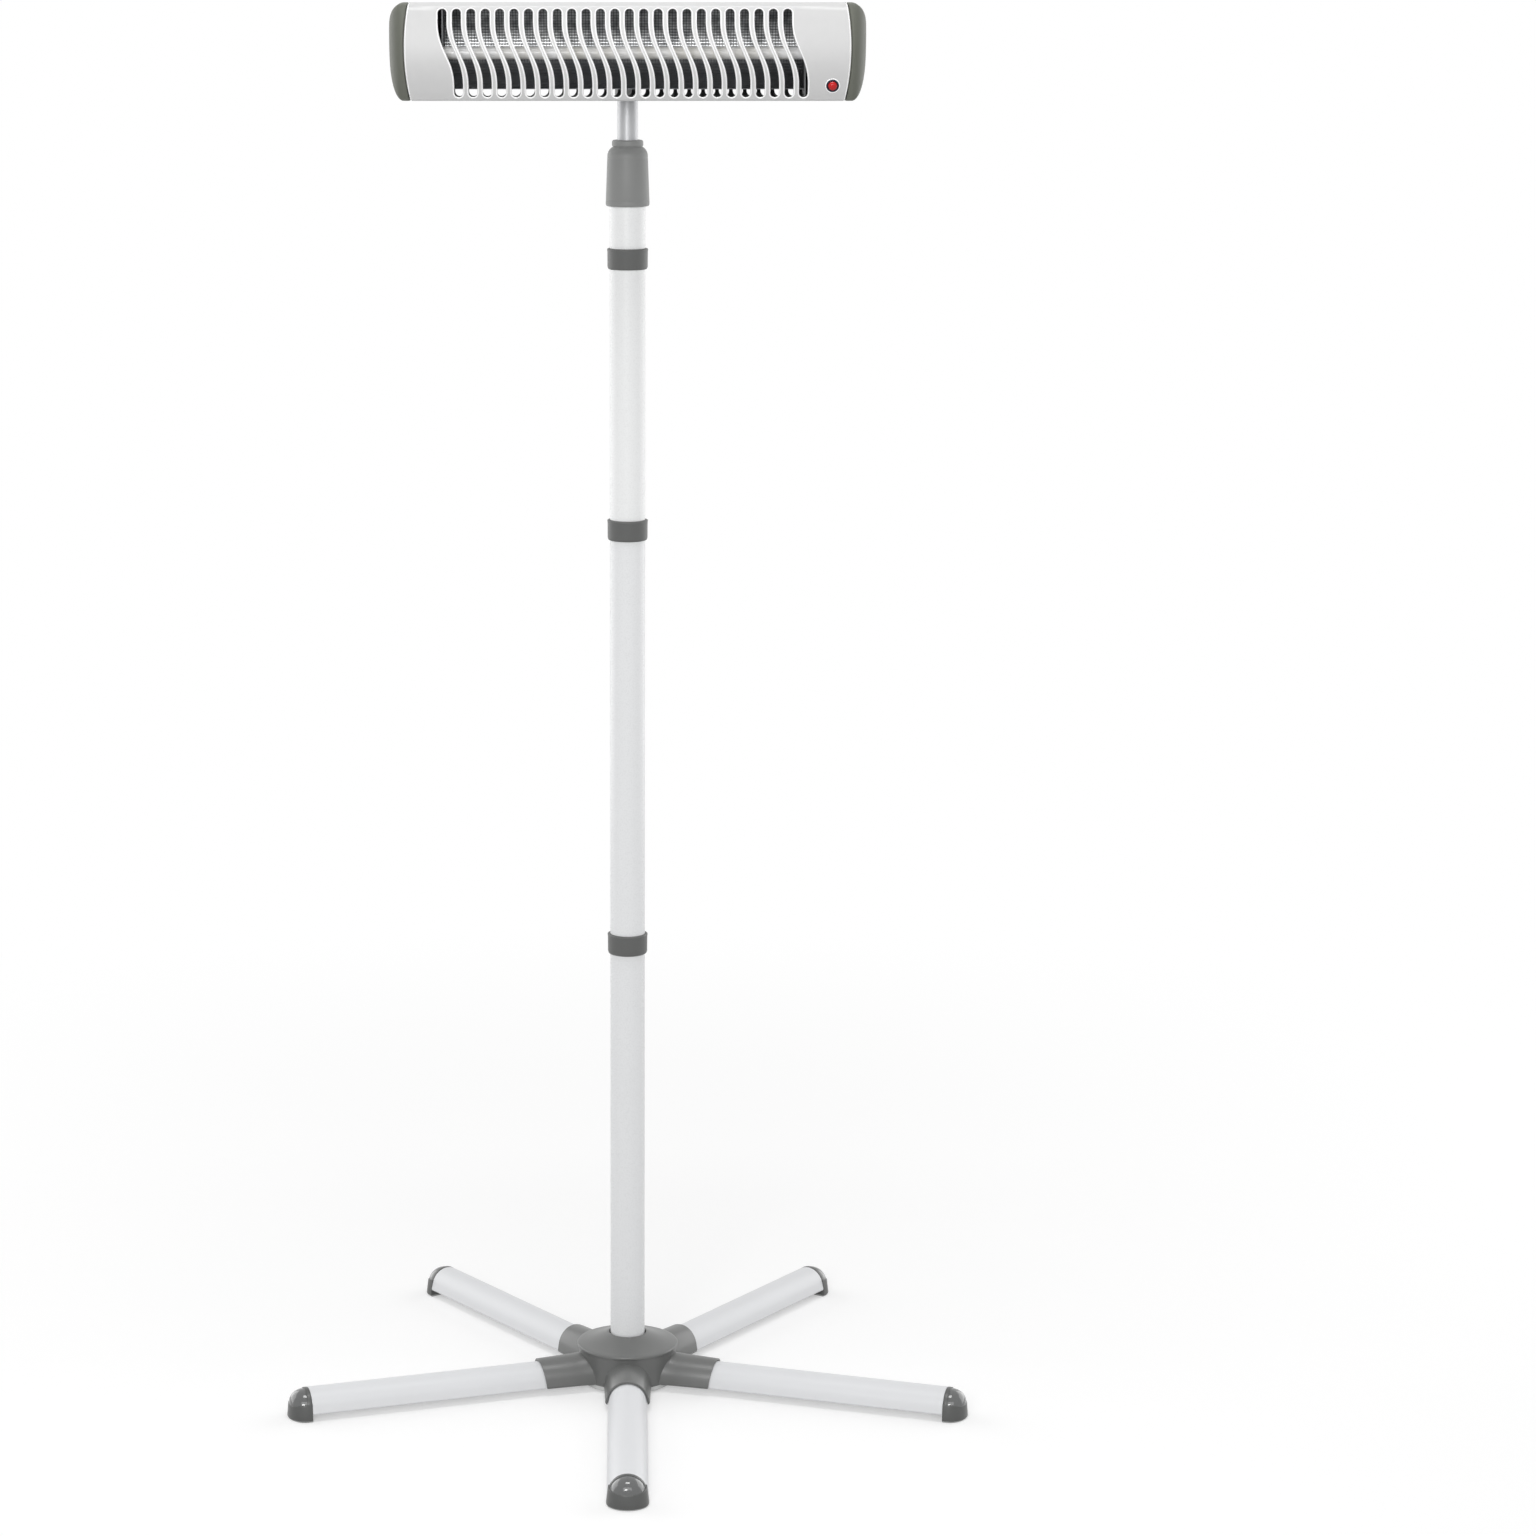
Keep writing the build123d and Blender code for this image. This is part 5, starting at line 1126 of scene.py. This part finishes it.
class HEATER_OT_small_parts(bpy.types.Operator):
    """Soften and dress the fittings, brackets, screws and inner parts"""

    bl_idname = "heater.small_parts"
    bl_label = "Fittings and screws"

    def execute(self, context):
        for row in (
            # solid, new piece, finish, rounding in mm, body, record slot
            ("tilt_fitting", "tilt_head_fitting", "grey_abs", 0.5, "inner_mast", "collar_plastic"),
            ("tilt_bracket", "tilt_yoke", "bracket", 0.3, "head", "bracket_paint"),
            ("tilt_knob", "tilt_grip_knob", "foot_matte", 0.5, "tilt_knob", "foot_plastic"),
            ("bottom_plate", "hub_plate", "plate", 0.3, "base", "plate_plastic"),
            ("cable_inlet", "cable_bush", "rubber", 0.3, "head", "black_rubber"),
            ("terminal_block", "wire_terminals", "ceramic", 0.4, "head", "ceramic_white"),
        ):
            soften(*row)
        plain = {
            "zinc": (
                "centre_bolt", "leg_screws", "bracket_screws", "pivot_bolt", "knob_washer",
                "cover_screws", "thermal_cutout"),
            "hub_nylon": ("mast_plug", "inner_tube_glide", "switch_block"),
            "collar_abs": ("clamp_collet",),
            "rubber": ("friction_washers",),
            "end_plate": ("end_plate_left", "end_plate_right"),
            "ceramic": ("ceramic_socket_left", "ceramic_socket_right"),
            "wire": ("heating_coil",),
        }
        for coat, nodes in plain.items():
            for node in nodes:
                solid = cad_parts[node]
                if not solid.material_slots:
                    solid.data.materials.append(finish(coat))
                for place in solid.material_slots:
                    place.material = finish(coat)
        return {"FINISHED"}


# ------------------------ stage


def seen_directly(tree):
    """1 for rays from the camera, mirrored or through glass, and 0 for those that only light."""
    path = add(tree, "ShaderNodeLightPath")
    seen = path.outputs["Is Camera Ray"]
    for ray in ("Is Glossy Ray", "Is Transmission Ray"):
        seen = add(
            tree, "ShaderNodeMath", {0: seen, 1: path.outputs[ray]}, operation="MAXIMUM",
        ).outputs[0]
    return seen


def whitened(tree, white_kind, share, base, output_kind):
    """End a tree with a base that turns plain white by a share."""
    white = add(tree, white_kind, Color=(1, 1, 1, 1), Strength=1.0)
    whole = add(tree, "ShaderNodeMixShader", {
        "Fac": share, 1: base.outputs[0], 2: white.outputs[0]})
    add(tree, output_kind, {"Surface": whole.outputs[0]})


class HEATER_OT_stage(bpy.types.Operator):
    """Floor, lamps, world and camera"""

    bl_idname = "heater.stage"
    bl_label = "Studio"

    def execute(self, context):
        self.lay_floor(context)
        self.light_world(context.scene)
        self.hang_lamps(context)
        self.place_camera(context)
        context.scene.view_settings.view_transform = "Standard"
        return {"FINISHED"}

    def lay_floor(self, context):
        """Matte floor that turns into the plain white background away from the heater."""
        reflectance, lift_level, fade_from, fade_to = 0.72, 0.40, 0.55, 2.2
        clear_selection()
        bpy.ops.mesh.primitive_circle_add(vertices=64, radius=14.0, fill_type="NGON")
        floor = context.object
        floor.name = "studio_floor"
        material, tree, place = new_material("matte_studio_floor")
        away = add(tree, "ShaderNodeVectorMath", {0: place}, operation="LENGTH")
        fade = add(
            tree, "ShaderNodeMapRange", {"Value": away.outputs["Value"]},
            interpolation_type="SMOOTHSTEP", **{"From Min": fade_from, "From Max": fade_to})
        seen = seen_directly(tree)
        share = add(
            tree, "ShaderNodeMath", {0: fade.outputs["Result"], 1: seen}, operation="MULTIPLY")
        colour = [c * reflectance for c in context.scene.heater_stage.floor_colour] + [1]
        matte = add(tree, "ShaderNodeBsdfDiffuse", Color=colour)
        lift = add(
            tree, "ShaderNodeEmission", {"Strength": seen}, Color=[lift_level] * 3 + [1])
        base = add(tree, "ShaderNodeAddShader", {0: matte.outputs[0], 1: lift.outputs[0]})
        whitened(
            tree, "ShaderNodeEmission", share.outputs[0], base, "ShaderNodeOutputMaterial")
        floor.data.materials.append(material)

    def light_world(self, scene):
        """White where it is seen, and dimmer where it only lights."""
        scene.world = scene.world or bpy.data.worlds.new("studio")
        scene.world.use_nodes = True
        tree = scene.world.node_tree
        tree.nodes.clear()
        dim = add(tree, "ShaderNodeBackground", Color=(1, 1, 1, 1), Strength=0.36)
        whitened(tree, "ShaderNodeBackground", seen_directly(tree), dim, "ShaderNodeOutputWorld")

    def hang_lamps(self, context):
        """Soft lamps: two at the sides from behind, two in front and one above."""
        side_power = context.scene.heater_stage.key_power
        lamps = (
            # name, place, aim, width, height, power
            ("side_lamp_left", (-2.4, 1.4, 1.1), (0, 0, 0.9), 3.0, 2.4, side_power),
            ("side_lamp_right", (2.4, 1.4, 1.1), (0, 0, 0.9), 3.0, 2.4, side_power),
            ("front_lamp", (0.0, -3.4, 2.2), (0, 0, 1.2), 3.2, 1.6, 30.0),
            ("key_lamp", (-0.7, -4.3, 1.9), (0, 0, 1.2), 1.3, 0.8, 45.0),
            ("top_lamp", (0.0, -0.6, 3.2), (0, -0.2, 0), 1.2, 0.9, 24.0),
        )
        for name, spot, aim, width, height, power in lamps:
            clear_selection()
            bpy.ops.object.light_add(type="AREA", location=spot)
            lamp = context.object
            lamp.name = name
            lamp.data.shape = "RECTANGLE"
            lamp.data.size = width
            lamp.data.size_y = height
            lamp.data.energy = power
            lamp.rotation_euler = (Vector(aim) - Vector(spot)).to_track_quat("-Z", "Y").to_euler()

    def place_camera(self, context):
        """The camera of the photograph, in metres and radians: it looks down a little."""
        aside, distance, rise, pitch = -0.0005, 4.3846, 1.5957, 0.16828
        clear_selection()
        bpy.ops.object.camera_add(
            location=(aside, MAST_Y * MM - distance, rise), rotation=(pi / 2 - pitch, 0, 0))
        camera = context.object
        camera.name = "photo_camera"
        camera.data.lens = context.scene.heater_stage.lens
        camera.data.sensor_width = 36.0
        camera.data.shift_x = 0.0917
        camera.data.shift_y = -0.09
        camera.data.clip_end = 100.0
        context.scene.camera = camera


class HEATER_PT_panel(bpy.types.Panel):
    """Lists the sizes and the steps that build the heater"""

    bl_label = "Quartz heater"
    bl_space_type = "VIEW_3D"
    bl_region_type = "UI"
    bl_category = "Heater"

    def draw(self, context):
        for group in (context.scene.heater_sizes, context.scene.heater_stage):
            for key in group.__annotations__:
                self.layout.prop(group, key)
        for step in STEPS:
            self.layout.operator(step.bl_idname)


STEPS = (
    HEATER_OT_stage, HEATER_OT_legs, HEATER_OT_foot_caps, HEATER_OT_hub, HEATER_OT_mast,
    HEATER_OT_clamp, HEATER_OT_casing, HEATER_OT_end_caps, HEATER_OT_rear_cover,
    HEATER_OT_element, HEATER_OT_button, HEATER_OT_small_parts,
)
CLASSES = (HeaterSizes, HeaterStage, *STEPS, HEATER_PT_panel)


def register():
    for cls in CLASSES:
        bpy.utils.register_class(cls)
    bpy.types.Scene.heater_sizes = bpy.props.PointerProperty(type=HeaterSizes)
    bpy.types.Scene.heater_stage = bpy.props.PointerProperty(type=HeaterStage)


def unregister():
    del bpy.types.Scene.heater_stage
    del bpy.types.Scene.heater_sizes
    for cls in reversed(CLASSES):
        bpy.utils.unregister_class(cls)


def main():
    register()
    for step in STEPS:
        family, call = step.bl_idname.split(".")
        getattr(getattr(bpy.ops, family), call)()
    clear_selection()


if __name__ == "__main__":
    main()
